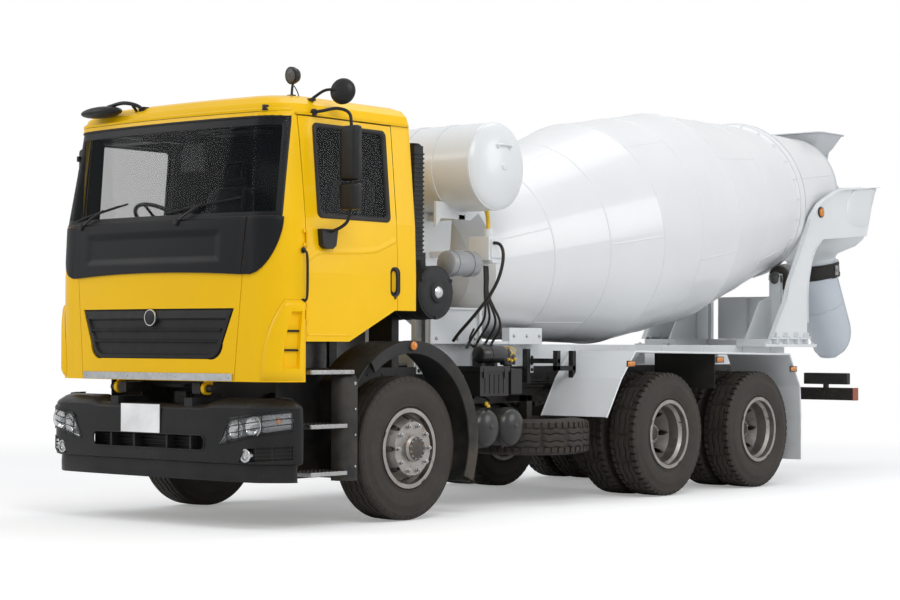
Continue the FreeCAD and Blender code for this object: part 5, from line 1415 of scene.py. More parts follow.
def fender_posts():
    """Posts behind the steps, with their studs."""
    post, studs = Part(), Part()
    for sign in (1, -1):
        outline = [(1085, -745), (1140, -744), (1172, -735), (1193, -716), (1204, -690),
                   (1207, -655), (1207, -598), (1085, -598)]
        rows = []
        for z, grow in ((322, 0), (330, 3), (700, 3), (985, 3), (1030, -6), (1055, -30)):
            rows.append([Vector((sign * (x + (grow if x > 1100 else 0)), y - grow * 0.6, z))
                         for x, y in outline])
        post.grid(rows, closed=True)
        post.faces(rows[0], [tuple(range(8))])
        post.faces(rows[-1], [tuple(range(8))])
        for z in (1000, 820, 640, 420):
            studs.bolt((sign * 1208, -628, z), (sign, 0, 0), 9, 6)
    post.done("Fender_Posts", "black_plastic", "chassis", bevel=8, segments=3)
    studs.done("Fender_Studs", "bare_steel", "chassis")


def spare_and_tanks():
    """Spare wheel with its carrier, and the two air tanks."""
    part = Part()
    tyre_mesh(part, (600, 2095, 535), (0, 0, 1), True)
    part.done("Spare_Tread", "tyre_rubber", "chassis", angle=30, replaces=("spare_wheel",))
    part = Part()
    for sign in (1, -1):
        part.lathe([(290, 128), (282, 136), (274, 128), (258, 60), (236, 10), (190, 30),
                    (110, 34), (108, 20), (0, 20)], (600, 2095, 535), (0, 0, sign), 64)
    part.box(560, 640, 2060, 2130, 640, 862)
    part.box(425, 640, 2060, 2130, 812, 862)
    part.rod((600, 2095, 380), (600, 2095, 640), 16)
    part.lathe([(0, 0), (95, 0), (95, 10), (0, 14)], (600, 2095, 560), (0, 0, -1), 32)
    part.done("Spare_Carrier", "chassis_black", "chassis", bevel=2)
    part, fitting = Part(), Part()
    for y in (1108, 1415):
        dome = [(0, 0), (60, 4), (105, 16), (134, 36), (147, 62), (148, 66), (148, 268)]
        for sign, x in ((1, 1040), (-1, 500)):
            part.lathe([(r, -h) for r, h in dome], (x, y, 631), (sign, 0, 0), 56)
            part.lathe([(148, -60), (150, -58), (150, -52), (148, -50)], (x, y, 631),
                       (sign, 0, 0), 56)
        fitting.lathe([(0, 10), (9, 10), (12, 6), (20, 4), (22, -2)], (1040, y, 640),
                      (1, 0, 0), 20)
        fitting.bolt((900, y, 483), (0, 0, -1), 13, 16)
        for x in (600, 930):
            part.lathe([(149, -18), (153, -18), (153, 18), (149, 18)], (x, y, 631), (1, 0, 0),
                       48, closed=True)
        part.box(560, 600, y - 20, y + 20, 769, 880)
        part.box(425, 600, y - 20, y + 20, 840, 880)
        fitting.tube([(760, y, 778), (760, y, 800), (740, y + 30, 830), (640, y + 60, 860),
                      (520, y + 60, 880)], 8, 8)
        fitting.bolt((760, y, 776), (0, 0, 1), 15, 20)
    part.done("Air_Tank_Skins", "tank_black", "chassis", replaces=("air_tanks",))
    fitting.done("Air_Tank_Fittings", "cast_steel", "chassis")


def boxes_and_valves():
    """Battery box, filter, valves and mudguard hangers."""
    part = Part()
    part.box(560, 812, 1242, 1600, 868, 1096)
    part.box(552, 820, 1234, 1608, 1058, 1104)
    part.box(425, 570, 1260, 1300, 900, 960)
    part.box(425, 570, 1540, 1580, 900, 960)
    for y in (1290, 1552):
        part.box(812, 824, y - 14, y + 14, 1010, 1090)
    for k in range(5):
        part.box(812, 817, 1300 + 58 * k, 1312 + 58 * k, 890, 1040)
    part.box(560, 800, 1650, 1790, 880, 1080)
    part.done("Battery_Box", "tank_black", "chassis", bevel=7, segments=3)
    part, brass = Part(), Part()
    profile = [(0, 0), (40, 2), (62, 12), (70, 30), (70, 118), (74, 120), (74, 134), (70, 136),
               (70, 300), (60, 318), (0, 320)]
    part.lathe(profile, (700, 1340, 1196), (0, 1, 0), 36)
    part.lathe([(0, 0), (44, 0), (50, 8), (50, 44), (40, 56), (0, 58)], (700, 1664, 1205),
               (0, 1, 0), 28)
    part.box(600, 700, 1400, 1440, 1104, 1180)
    part.box(600, 700, 1560, 1600, 1104, 1180)
    part.tube([(560, 1720, 1250), (560, 1460, 1262), (560, 1420, 1320), (620, 1400, 1400)], 9, 8)
    for k, (y, z) in enumerate(((1690, 1150), (1730, 1140), (1772, 1152))):
        part.lathe([(0, 0), (34, 0), (37, 6), (37, 70), (30, 84), (0, 88)], (700, y, z - 40),
                   (0, 0, 1), 20)
        brass.bolt((738, y, z + 6), (1, 0, 0), 9, 14)
        brass.tube([(730, y, z + 44), (742, y + 4, z + 66), (720, y - 20, z + 96),
                    (640, y - 40, z + 104)], 5, 6)
    part.done("Filter_And_Valves", "tank_black", "chassis", bevel=3)
    brass.bolt((700, 1722, 1205), (0, 1, 0), 16, 14)
    brass.bolt((640, 1230, 1020), (0, -1, 0), 12, 12)
    brass.bolt((1000, 1108, 792), (0, 0, 1), 14, 20)
    brass.bolt((860, 1262, 800), (0, 0, 1), 14, 26)
    brass.done("Brass_Fittings", YELLOW_PIPE, "chassis")
    part = Part()
    for y in (1010, 2240):
        part.box(470, 520, y - 22, y + 22, 960, 1240)
    part.box(690, 735, 2560, 2605, 540, 1225)
    part.box(690, 735, 2345, 2390, 1060, 1225)
    part.box(690, 735, 2345, 2605, 1060, 1100)
    part.box(425, 735, 2565, 2600, 900, 940)
    part.box(425, 735, 2350, 2385, 1120, 1160)
    for z in (560, 700, 840):
        part.bolt((736, 2582, z), (1, 0, 0), 10, 7)
    part.done("Guard_Hangers", "chassis_black", "chassis", bevel=4)


def frame_trim():
    """Brackets, bolts and pipes along the rails."""
    part, white, lines = Part(), Part(), Part()
    for sign in (1, -1):
        for y in (980, 1660, 2350, 3050, 3700, 4380, 5080, 5760, 6280):
            a, b = sorted((sign * 425, sign * 437))
            white.box(a, b, y - 62, y + 62, 1040, 1200)
            white.prism("YZ", [(y - 60, 1200), (y + 60, 1200), (y + 40, 1262), (y - 40, 1262)],
                        sign * 425, sign * 430)
            for dy in (-38, 38):
                for z in (1066, 1118, 1168):
                    part.bolt((sign * 437, y + dy, z), (sign, 0, 0), 12, 11)
        for y in range(-1000, 6400, 170):
            for z in (850, 1040):
                part.bolt((sign * 425, y, z), (sign, 0, 0), 8, 6)
        for j, z in enumerate((925, 950, 972)):
            x = sign * (434 + 3 * j)
            lines.tube([(x, y, z + 4 * math.sin(y / 190 + j)) for y in range(500, 6301, 240)],
                       8, 6, 2)
        for y in range(700, 6300, 480):
            part.box(*sorted((sign * 428, sign * 450)), y - 9, y + 9, 908, 992)
    for y in range(-900, 6400, 900):
        part.box(-416, 416, y - 5, y + 5, 828, 1062)
    part.box(-60, 60, -1160, -1090, 850, 930)
    part.done("Frame_Bolts", "chassis_black", "chassis")
    white.done("Subframe_Plates", "body_white", "chassis", bevel=2)
    lines.done("Brake_Lines", HOSE, "chassis")
    part = Part()
    for sign in (1, -1):
        for y in (3320, 4760):
            part.lathe([(0, 0), (70, 0), (86, 14), (88, 60), (100, 66), (100, 78), (88, 84),
                        (84, 130), (60, 150), (0, 154)], (sign * 330, y - 190, 640), (0, 1, 0),
                       28)
        part.tube([(sign * 300, -300, 600), (sign * 300, -330, 560), (sign * 640, -330, 540)],
                  16, 10)
    part.done("Brake_Chambers", "cast_steel", "chassis", bevel=0)


def guards_and_rear():
    """Edges, flaps and lamps of the rear guards, and the underrun bar."""
    edge, flap, amber, red, seat = Part(), Part(), Part(), Part(), Part()
    line = [(2360, 690), (2560, 1000), (2763, 1224), (5239, 1199), (5422, 900), (5440, 610)]
    for sign in (1, -1):
        edge.tube([(sign * 1222, y, z - 4) for y, z in line], 9, 8, smooth=False)
        edge.tube([(sign * 560, y, z - 4) for y, z in line], 7, 6, smooth=False)
        for y0, z0 in ((2763, 1224), (3900, 1213)):
            edge.box(*sorted((sign * 600, sign * 1180)), y0 + 60, y0 + 72, z0 - 1, z0 + 5)
        for y in (2900, 3500, 4040, 4600, 5150):
            z = 1224 - (y - 2763) * 0.0101
            edge.box(*sorted((sign * 566, sign * 1218)), y - 22, y + 22, z - 2, z + 5)
            for x in (620, 900, 1170):
                edge.bolt((sign * x, y, z + 5), (0, 0, 1), 9, 6)
        across = sorted(sign * x for x in range(566, 1221, 30))
        rows = [[Vector((x, y, z)) for x in across] for y, z in
                ((4010, 1214), (4012, 1100), (4014, 980), (4010, 900))]
        flap.grid(rows, thick=8)
        across = sorted(sign * x for x in range(566, 1221, 16))
        rows = [[Vector((x, y + 3 * math.sin(abs(x) / 50), z)) for x in across]
                for y, z in ((5450, 640), (5452, 480), (5450, 330), (5446, 226))]
        flap.grid(rows, thick=9)
        flap.box(*sorted((sign * 566, sign * 1220)), 5440, 5462, 600, 640)
        for x in (640, 780, 920, 1060, 1180):
            edge.bolt((sign * x, 5462, 620), (0, 1, 0), 10, 6)
        for y, z in ((4050, 1150), (2700, 1120), (5300, 1060)):
            seat.box(*sorted((sign * 1221, sign * 1232)), y - 62, y + 62, z - 26, z + 26)
            rows = []
            for k in range(7):
                t = k / 6
                swell = math.sin(math.pi * t) ** 0.5
                rows.append([Vector((sign * (1232 + 16 * swell * math.sin(math.pi * j / 6)),
                                     y - 52 + 104 * t, z - 20 + 40 * j / 6)) for j in range(7)])
            amber.grid(rows)
    edge.done("Guard_Edges", "body_white", "chassis")
    flap.done("Mud_Flaps", SEAL, "chassis", bevel=2)
    amber.done("Side_Markers", AMBER, "chassis")
    part, caps = Part(), Part()
    for sign in (1, -1):
        caps.box(*sorted((sign * 1206, sign * 1214)), 6448, 6552, 747, 870)
        part.box(*sorted((sign * 437, sign * 445)), 6330, 6470, 770, 1060)
        for y, z in ((6350, 1030), (6450, 1030), (6400, 900), (6400, 800)):
            part.bolt((sign * 445, y, z), (sign, 0, 0), 12, 9)
        seat.box(*sorted((sign * 640, sign * 1120)), 6500, 6560, 900, 1010)
        seat.box(*sorted((sign * 860, sign * 900)), 6490, 6540, 860, 905)
        for k, x in enumerate((700, 815, 930, 1045)):
            red.lathe([(0, 12), (30, 11), (42, 6), (46, 0), (46, -4)],
                         (sign * x, 6560, 955), (0, 1, 0), 28)
    for x in (-1100, -700, 700, 1100):
        part.box(x - 50, x + 50, 6550, 6554, 790, 828)
    for x in range(-1100, 1101, 275):
        part.bolt((x, 6550, 850), (0, 1, 0), 8, 5)
    part.tube([(-150, 6470, 900), (-150, 6560, 900), (150, 6560, 900), (150, 6470, 900)], 18, 10,
              4)
    part.box(-220, 220, 6440, 6456, 800, 1080)
    part.done("Underrun_Trim", "chassis_black", "chassis", bevel=2)
    caps.done("Underrun_Caps", RUST_RED, "chassis", bevel=4)
    red.done("Tail_Lamps", RED, "chassis")
    seat.done("Lamp_Bases", "black_plastic", "chassis", bevel=6, segments=3)


def intake_and_tank():
    """Ribbed intake mast, air cleaner, water tank bands and its pipes."""
    part = Part()
    for k in range(23):
        z = 1935 + 34 * k
        part.box(842, 948, 292, 408, z, z + 14)
    rows = []
    for k in range(9):
        t = k / 8
        rows.append([Vector((895 + 52 * math.cos(a), 352 + 56 * math.sin(a) - 26 * t * t,
                             2745 + 20 * t)) for a in (2 * math.pi * j / 20 for j in range(20))])
    part.grid(rows, closed=True)
    part.lathe([(0, 0), (196, 0), (203, 6), (203, 34), (196, 40)], (800, 480, 1660), (1, 0, 0),
               56)
    for x in (560, 640, 720, 880):
        part.lathe([(199, -9), (205, -6), (205, 6), (199, 9)], (x, 480, 1660), (1, 0, 0), 56,
                   closed=True)
    part.tube([(870, 350, 1960), (860, 380, 1900), (820, 440, 1850), (760, 480, 1840)], 62, 16)
    part.done("Intake_Ribs", "black_plastic", "chassis", bevel=4)
    part = Part()
    part.lathe([(0, 30), (60, 30), (74, 24), (80, 12), (120, 10), (176, 8), (188, 0), (188, -6)],
               (1002, 480, 1660), (1, 0, 0), 56)
    for angle in (0.5, 2.6, 4.7):
        part.box(996, 1014, 480 + 188 * math.cos(angle) - 14, 480 + 188 * math.cos(angle) + 14,
                 1660 + 188 * math.sin(angle) - 14, 1660 + 188 * math.sin(angle) + 14)
    part.done("Cleaner_Cap", "black_plastic", "chassis", bevel=3)
    part = Part()
    part.lathe([(0, 12), (34, 10), (44, 0), (44, -6)], (1032, 480, 1660), (1, 0, 0), 32)
    part.done("Cleaner_Button", SILVER, "chassis")
    part = Part()
    part.lathe([(0, 0), (70, 4), (92, 18), (96, 34), (96, 330), (88, 352), (0, 356)],
               (900, 700, 1891), (0, 1, 0), 40)
    for y in (780, 960):
        part.lathe([(98, -10), (102, -8), (102, 8), (98, 10)], (900, y, 1891), (0, 1, 0), 40,
                   closed=True)
    part.box(620, 900, 760, 800, 1780, 1820)
    part.box(620, 660, 760, 800, 1277, 1820)
    part.done("Oil_Cooler", "drive_grey", "chassis", bevel=4)

    part = Part()
    for sign in (1, -1):
        dome = [(0, 82), (90, 80), (180, 70), (255, 52), (305, 28), (332, 6), (342, -10),
                (342, -24), (337, -28), (337, -70)]
        part.lathe(dome, (sign * 1010, 1185, 2650), (sign, 0, 0), 72)
        part.lathe([(0, 12), (26, 10), (34, 2), (34, -8)], (sign * 1090, 1185, 2650),
                   (sign, 0, 0), 28)
        part.tube([(sign * 1084, 1115, 2780), (sign * 1100, 1115, 2810), (sign * 1100, 1255, 2810),
                   (sign * 1084, 1255, 2780)], 8, 8)
    for x in (-620, -320, 320, 620):
        part.lathe([(341, -28), (346, -26), (346, 26), (341, 28)], (x, 1185, 2650), (1, 0, 0), 72,
                   closed=True)
    part.lathe([(0, 62), (70, 60), (82, 50), (82, 0)], (0, 1185, 2985), (0, 0, 1), 32)
    part.tube([(sx * 70, 1185, 3044) for sx in (-1, 1)], 9, 8, smooth=False)
    for x in (-330, 330):
        part.prism("YZ", [(960, 2290), (1410, 2290), (1460, 2480), (1440, 2460), (1185, 2300),
                          (930, 2460), (910, 2480)], x - 20, x + 20)
    part.done("Tank_Trim", "body_white", "chassis", bevel=2)
    part = Part()
    part.box(760, 960, 1160, 1340, 1925, 2110)
    part.box(760, 980, 1180, 1320, 1905, 1930)
    part.box(955, 972, 1180, 1322, 1945, 2090)
    part.box(330, 770, 1180, 1240, 1960, 2010)
    part.lathe([(0, 0), (38, 0), (38, 60), (30, 66), (0, 66)], (880, 1250, 2108), (0, 0, 1), 24)
    part.done("Valve_Box", "body_white", "chassis", bevel=10, segments=3)
    part = Part()
    part.tube([(880, 1250, 2160), (880, 1250, 2230), (876, 1240, 2300), (860, 1220, 2340),
               (820, 1200, 2360)], 17, 12)
    part.done("Yellow_Pipe", YELLOW_PIPE, "chassis")
    hoses()


def hose(name, thick, route):
    """A free hose on one smooth line."""
    curve = bpy.data.curves.new(name, "CURVE")
    curve.dimensions = "3D"
    spline = curve.splines.new("NURBS")
    spline.points.add(len(route) - 1)
    for point, place in zip(spline.points, route):
        point.co = (*at(*place), 1)
    spline.order_u = 3
    spline.use_endpoint_u = True
    spline.resolution_u = 6
    curve.bevel_depth = thick / 2000
    curve.bevel_resolution = 3
    curve.use_fill_caps = True
    thing = bpy.data.objects.new(name, curve)
    scene.collection.objects.link(thing)
    curve.materials.append(HOSE)
    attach(thing, "chassis")


def hoses():
    """Four hoses from the valve box down to the frame, and its drain."""
    ends = Part()
    for k, (y, low, length) in enumerate(((1200, 1350, 0.824), (1235, 1450, 0.842),
                                          (1270, 1560, 0.875), (1305, 1640, 0.897))):
        top = 880 - 18 * k
        hose(f"Valve_Hose_{k + 1}", 20, [
            (top, y, 1925), (top + 4, y, 1880), (top + 10, y, 1780), (top - 2 * k, y + 8, 1680),
            (850 - 22 * k, y * 0.6 + low * 0.4, 1570), (780 - 20 * k, low * 0.9 + y * 0.1, 1470),
            (690, low + 4, 1390), (610, low + 18, 1310), (560, low + 30, 1250)])
        ends.rod((top, y, 1930), (top, y, 1885), 16, 6)
        ends.rod((558, low + 30, 1246), (590, low + 22, 1286), 16, 6)
    hose("Drain_Hose", 26, [
        (958, 1210, 2060), (1005, 1207, 2062), (1055, 1200, 2035), (1085, 1188, 1970),
        (1085, 1170, 1870), (1060, 1148, 1760), (1000, 1126, 1650), (910, 1110, 1545),
        (800, 1104, 1440), (700, 1110, 1360), (640, 1118, 1300)])
    ends.rod((950, 1211, 2062), (976, 1206, 2056), 19, 6)
    ends.done("Hose_Fittings", "bare_steel", "chassis", bevel=1)


def fuel_tank():
    """Pressed tank with rounded corners, its bands, cap, gauge and drain."""
    def ring(x0, x1, z0, z1, r):
        points = []
        for cx, cz, a0 in ((x1 - r, z1 - r, 0), (x0 + r, z1 - r, 90), (x0 + r, z0 + r, 180),
                           (x1 - r, z0 + r, 270)):
            for k in range(9):
                a = math.radians(a0 + 90 * k / 8)
                points.append((cx + r * math.cos(a), cz + r * math.sin(a)))
        return points

    shell, bands, caps = Part(), Part(), Part()
    rows = []
    for y, inset in ((1004, 40), (1003, 14), (1012, 3), (1022, 0), (1030, 0), (1034, 4), (1040, 4),
                     (1044, 0), (1390, 0), (1394, 4), (1400, 4), (1404, 0), (1750, 0), (1754, 4),
                     (1760, 4), (1764, 0), (2106, 0), (2110, 4), (2116, 4), (2120, 0), (2128, 0),
                     (2138, 3), (2147, 14), (2146, 40)):
        rows.append([Vector((x, y, z)) for x, z in
                     ring(-1148 + inset, -522 - inset, 522 + inset, 1078 - inset, 66)])
    shell.grid(rows, closed=True)
    for row, y in ((rows[0], 1004), (rows[-1], 2146)):
        shell.faces(row, [tuple(range(len(row)))])
    shell.done("Fuel_Tank_Skin", "tank_black", "chassis", angle=50, replaces=("fuel_tank",))
    for y in (1200, 1900):
        outer, inner = ring(-1150, -519, 519, 1080, 68), ring(-1146, -523, 523, 1076, 64)
        for (a, b), (c, d) in zip(zip(outer, outer[1:] + outer[:1]),
                                  zip(inner, inner[1:] + inner[:1])):
            bands.prism("XZ", [a, b, d, c], y, y + 56)
        bands.box(-540, -425, y, y + 60, 850, 950)
        for z in (1020, 1046):
            bands.bolt((-1040, y + 28, 1079), (0, 0, 1), 8, 9)
    bands.done("Fuel_Tank_Bands", "bare_steel", "chassis")
    caps.lathe([(0, 46), (44, 44), (54, 36), (54, 8), (62, 6), (62, 0)], (-960, 1110, 1078),
               (0, 0, 1), 36)
    for k in range(12):
        a = math.radians(30 * k)
        caps.box(-960 + 54 * math.cos(a) - 3, -960 + 54 * math.cos(a) + 3,
                 1110 + 54 * math.sin(a) - 3, 1110 + 54 * math.sin(a) + 3, 1088, 1114)
    caps.lathe([(0, 14), (30, 12), (34, 0)], (-760, 1560, 1078), (0, 0, 1), 28)
    caps.lathe([(0, 12), (16, 11), (18, 0)], (-840, 1560, 519), (0, 0, -1), 6)
    caps.tube([(-760, 1560, 1090), (-740, 1560, 1112), (-640, 1560, 1104), (-480, 1560, 1096)],
              7, 8)
    caps.done("Fuel_Caps", "black_plastic", "chassis", angle=35)


fender_posts()
fuel_tank()
spare_and_tanks()
boxes_and_valves()
frame_trim()
guards_and_rear()
intake_and_tank()


# ------------------------------------------------------------ drum, arms, hopper and chute

TILT = math.radians(9.3)
ALONG = Vector((0, math.cos(TILT), math.sin(TILT)))
FRONT_DISH = Vector((0, 1664, 1951))
MOUTH = FRONT_DISH + ALONG * 5770
STATIONS = [(0, 625), (1905, 985), (3120, 985), (4645, 741), (5770, 525)]
SPOUT = math.radians(11)
DROP = Vector((0, math.sin(SPOUT), -math.cos(SPOUT)))
LIP = MOUTH + Vector((0, 402, -753))


def drum_radius(station):
    for (a, ra), (b, rb) in zip(STATIONS, STATIONS[1:]):
        if station <= b:
            return ra + (rb - ra) * (station - a) / (b - a)
    return STATIONS[-1][1]


def drum_point(station, angle, proud=0):
    side = Vector((1, 0, 0))
    up = side.cross(ALONG)
    r = drum_radius(station) + proud
    return (FRONT_DISH + ALONG * station + side * r * math.cos(angle)
            + up * r * math.sin(angle))


def drum_seams():
    """Plate seams, ring edges, mixing blades and roller trim."""
    part = Part()
    for station in (640, 1270, 1905, 2515, 3120, 3885):
        r0 = drum_radius(station)
        part.lathe([(drum_radius(station - 11) - 2, -11), (drum_radius(station - 8) + 2.2, -8),
                    (r0 + 4.4, 0), (drum_radius(station + 8) + 2.2, 8),
                    (drum_radius(station + 11) - 2, 11)], FRONT_DISH + ALONG * station, ALONG, 120)
    spans = [(0, 640), (640, 1270), (1270, 1905), (1905, 2515), (2515, 3120), (3120, 3885),
             (3885, 4600), (4690, 5740)]
    for k, (a, b) in enumerate(spans):
        for j in range(3):
            turn = 0.25 + 0.9 * k + 2 * math.pi * j / 3
            rows = []
            for i in range(13):
                station = a + 12 + (b - a - 24) * i / 12
                r = drum_radius(station)
                rows.append([drum_point(station, turn + d / r, h) for d, h in
                             ((-11, -2), (-6, 2), (0, 3.8), (6, 2), (11, -2))])
            part.grid(rows)
    for station in (4645 - 52, 4645 + 52):
        r = drum_radius(station)
        part.lathe([(r - 4, -26), (775, -4 if station < 4645 else 4), (775, 0), (r + 6, 8),
                    (r - 4, 26)], FRONT_DISH + ALONG * station, ALONG, 96)
    for k in range(24):
        angle = 2 * math.pi * k / 24
        for station in (4645 - 66, 4645 + 66):
            s1 = station + (-26 if station < 4645 else 26)
            rows = [[drum_point(station, angle + d, 30), drum_point(s1, angle + d, 0),
                     drum_point(s1, angle + d, -4), drum_point(station, angle + d, -4)]
                    for d in (-0.008, 0.008)]
            part.faces(rows[0] + rows[1], [(0, 1, 2, 3), (7, 6, 5, 4), (0, 4, 5, 1),
                                           (1, 5, 6, 2), (3, 7, 4, 0)])
    part.done("Drum_Seams", "drum_white", "drum", angle=60)
    part = Part()
    r = 525
    part.lathe([(r - 14, 4), (r + 2, 4), (r + 8, -6), (r + 8, -34), (r - 2, -38), (r - 14, -30)],
               MOUTH, ALONG, 96, closed=True)
    part.lathe([(r - 10, -2), (r - 30, -60), (r - 36, -240), (r - 30, -420)], MOUTH, ALONG, 72)
    for k in range(3):
        turn = 2 * math.pi * k / 3
        rows = []
        for i in range(61):
            station = 5740 - 42 * i
            angle = turn + i * 0.082
            r = min(drum_radius(station) - 14, 900)
            deep = 120 + 3.2 * i
            rows.append([drum_point(station, angle, -8 - q * deep) +
                         ALONG * (18 * q) for q in (0, 0.33, 0.66, 0.94, 1.0)])
        part.grid(rows, thick=6)
    part.done("Mixing_Blades", "hopper_grey", "drum", angle=50)
    part = Part()
    for sign in (1, -1):
        across, below = sign * 900.5 * math.sin(math.radians(32)), 900.5 * math.cos(
            math.radians(32))
        ring = FRONT_DISH + ALONG * 4645
        centre = ring + Vector((across, below * math.sin(TILT), -below * math.cos(TILT)))
        body = "left_roller" if sign > 0 else "right_roller"
        rim = Part()
        for end in (1, -1):
            rim.lathe([(40, 1), (96, 1), (104, 0), (118, 0.5), (122, -2), (110, 3), (104, 6),
                       (44, 6)], centre + ALONG * end * 55, ALONG * end, 48)
        rim.done(f"Roller_Rims_{'L' if sign > 0 else 'R'}", "cast_steel", body)
        for end in (1, -1):
            part.lathe([(0, 46), (34, 46), (44, 40), (48, 26), (66, 22), (72, 14), (72, 0)],
                       centre + ALONG * end * 128, ALONG * end, 32)
        for k in range(6):
            a = math.pi * k / 3
            off = Vector((60 * math.cos(a), 0, 60 * math.sin(a)))
            part.bolt(centre - ALONG * 148 + off, -ALONG, 8, 6)
    part.done("Roller_Bearings", "cast_engine", "chassis")


def edge_bar(part, points, out, wide, thick):
    """A flat bar along an edge in a YZ plane, from x=out outwards."""
    path = smooth_path([(0, y, z) for y, z in points], 5)
    rows = []
    for i, p in enumerate(path):
        ahead = (path[min(i + 1, len(path) - 1)] - path[max(i - 1, 0)]).normalized()
        normal = Vector((0, -ahead.z, ahead.y))
        rows.append([Vector((out, 0, 0)) + p, Vector((out + wide, 0, 0)) + p,
                     Vector((out + wide, 0, 0)) + p - normal * thick,
                     Vector((out, 0, 0)) + p - normal * thick])
    part.grid(rows, closed=True)
    part.faces(rows[0], [(0, 1, 2, 3)])
    part.faces(rows[-1], [(3, 2, 1, 0)])


def arms():
    """Flanges on the rear arms, pedestal plates and arm lamps."""
    part, plain = Part(), Part()
    front = [(5722, 1342), (5850, 1530), (5990, 1715), (6060, 1890), (6225, 2140), (6360, 2350),
             (6480, 2545), (6635, 2680), (6840, 2770), (7045, 2835), (7400, 2872), (7850, 2912)]
    under = [(6440, 1500), (6440, 1800), (6470, 1965), (6530, 2130), (6610, 2246), (6690, 2300)]
    for sign in (1, -1):
        half = Part()
        edge_bar(half, front, 703, 52, 9)
        edge_bar(half, under, 703, 22, 7)
        half.prism("YZ", [(5720, 1337), (6440, 1337), (6440, 1352), (5730, 1352)], 700, 752)
        for y in (5800, 6000, 6200, 6380):
            half.box(690, 760, y - 8, y + 8, 1290, 1400)
            half.bolt((745, y + 50, 1352), (0, 0, 1), 14, 12)
        if sign < 0:
            bmesh.ops.scale(half.bm, vec=(-1, 1, 1), verts=half.bm.verts)
        holder = bpy.data.meshes.new("half")
        half.bm.to_mesh(holder)
        half.bm.free()
        part.bm.from_mesh(holder)
        bpy.data.meshes.remove(holder)
    for sign in (1, -1):
        plain.box(*sorted((sign * 430, sign * 752)), 5600, 6560, 1262, 1290)
        for y in (5650, 5900, 6150, 6400, 6530):
            part.bolt((sign * 720, y, 1290), (0, 0, 1), 15, 12)
    plain.box(-300, 300, 6420, 6446, 1340, 1760)
    for x in (-200, 200):
        plain.prism("YZ", [(6440, 1290), (6700, 1500), (6700, 1540), (6440, 1560)], x - 8, x + 8)
    part.done("Arm_Flanges", "body_white", "chassis", bevel=2)
    plain.done("Pedestal_Plates", "body_white", "chassis", bevel=3)
    seat, lens = Part(), Part()
    for sign in (1, -1):
        seat.lathe([(0, 0), (52, 0), (54, 5), (52, 13), (0, 13)], (sign * 712, 6699, 2594),
                   (sign, 0, 0), 36)
        lens.lathe([(0, 30), (16, 29), (32, 25), (42, 17), (44, 9), (0, 9)],
                   (sign * 712, 6699, 2594), (sign, 0, 0), 36)
    seat.done("Arm_Lamp_Bases", "grille_black", "chassis")
    lens.done("Arm_Lamps", AMBER, "chassis")


def collector():
    """Shroud that narrows from the arms to the round spout."""
    part = Part()
    levels = [(2880, 7640, 726, 214, 12), (2850, 7560, 722, 262, 11), (2740, 7500, 720, 300, 10),
              (2640, 7470, 718, 315, 9), (2540, 7462, 717, 318, 7), (2450, 7474, 700, 316, 5.5),
              (2375, 7500, 655, 320, 4.2), (2310, 7550, 560, 318, 3.2), (2262, 7620, 430, 292, 2.6),
              (2225, 7690, 310, 262, 2.2)]
    rows = []
    n = 72
    for z, y, hx, hy, power in levels:
        row = []
        for k in range(n):
            a = 2 * math.pi * k / n
            c, s = math.cos(a), math.sin(a)
            scale = (abs(c) ** power + abs(s) ** power) ** (-1 / power)
            row.append(Vector((hx * c * scale, y + hy * s * scale,
                               z + (hy * s * scale) * 0.19 * max(0, (2300 - z)) / 75)))
        rows.append(row)
    for drop in (-60, 0, 14):
        row = []
        centre = LIP + DROP * drop
        back = Vector((0, math.cos(SPOUT), math.sin(SPOUT)))
        for k in range(n):
            a = 2 * math.pi * k / n
            row.append(centre + Vector((1, 0, 0)) * 250 * math.cos(a) + back * 250 * math.sin(a))
        rows.append(row)
    part.grid(rows, thick=-6, closed=True)
    edge = rows[0]
    part.tube(edge + edge[:1], 9, 6, smooth=False, ends=False)
    part.lathe([(248, -12), (264, -12), (264, 0), (248, 0)], LIP, DROP, 72, closed=True)
    part.done("Collector_Skin", "body_white", "chassis", angle=50, replaces=("collector",))


def hopper_piece():
    """Square funnel with a flared lip, on legs over the drum's mouth."""
    part = Part()
    n = 64
    levels = [(3462, 7602, 352, 270, 10), (3470, 7602, 346, 266, 10), (3460, 7602, 336, 258, 9),
              (3440, 7604, 322, 250, 8), (3330, 7590, 262, 215, 6), (3200, 7540, 182, 160, 4.5),
              (3100, 7480, 140, 112, 4), (3000, 7380, 136, 90, 4), (2900, 7315, 132, 82, 4)]
    rows = []
    for z, y, hx, hy, power in levels:
        row = []
        for k in range(n):
            a = 2 * math.pi * k / n
            c, s = math.cos(a), math.sin(a)
            scale = (abs(c) ** power + abs(s) ** power) ** (-1 / power)
            row.append(Vector((hx * c * scale, y + hy * s * scale, z)))
        rows.append(row)
    part.grid(rows, thick=6, closed=True)
    for sx in (-1, 1):
        part.box(sx * 150 - 20, sx * 150 + 20, 7600, 7640, 2870, 3225)
        part.tube([(sx * 200, 7742, 3290), (sx * 190, 7720, 3160), (sx * 170, 7650, 3000),
                   (sx * 160, 7640, 2885)], 14, 10, smooth=False)
        part.tube([(sx * 240, 7420, 3270), (sx * 330, 7560, 3040), (sx * 400, 7620, 2885)], 13,
                  10, smooth=False)
        part.box(sx * 665 - 32, sx * 665 + 32, 7560, 7680, 2822, 2890)
    part.box(-700, 700, 7590, 7650, 2830, 2880)
    for sx in (-1, 1):
        for y in (7575, 7665):
            part.bolt((sx * 665, y, 2890), (0, 0, 1), 11, 9)
    part.done("Hopper_Funnel", "hopper_grey", "chassis", angle=50, replaces=("hopper",))


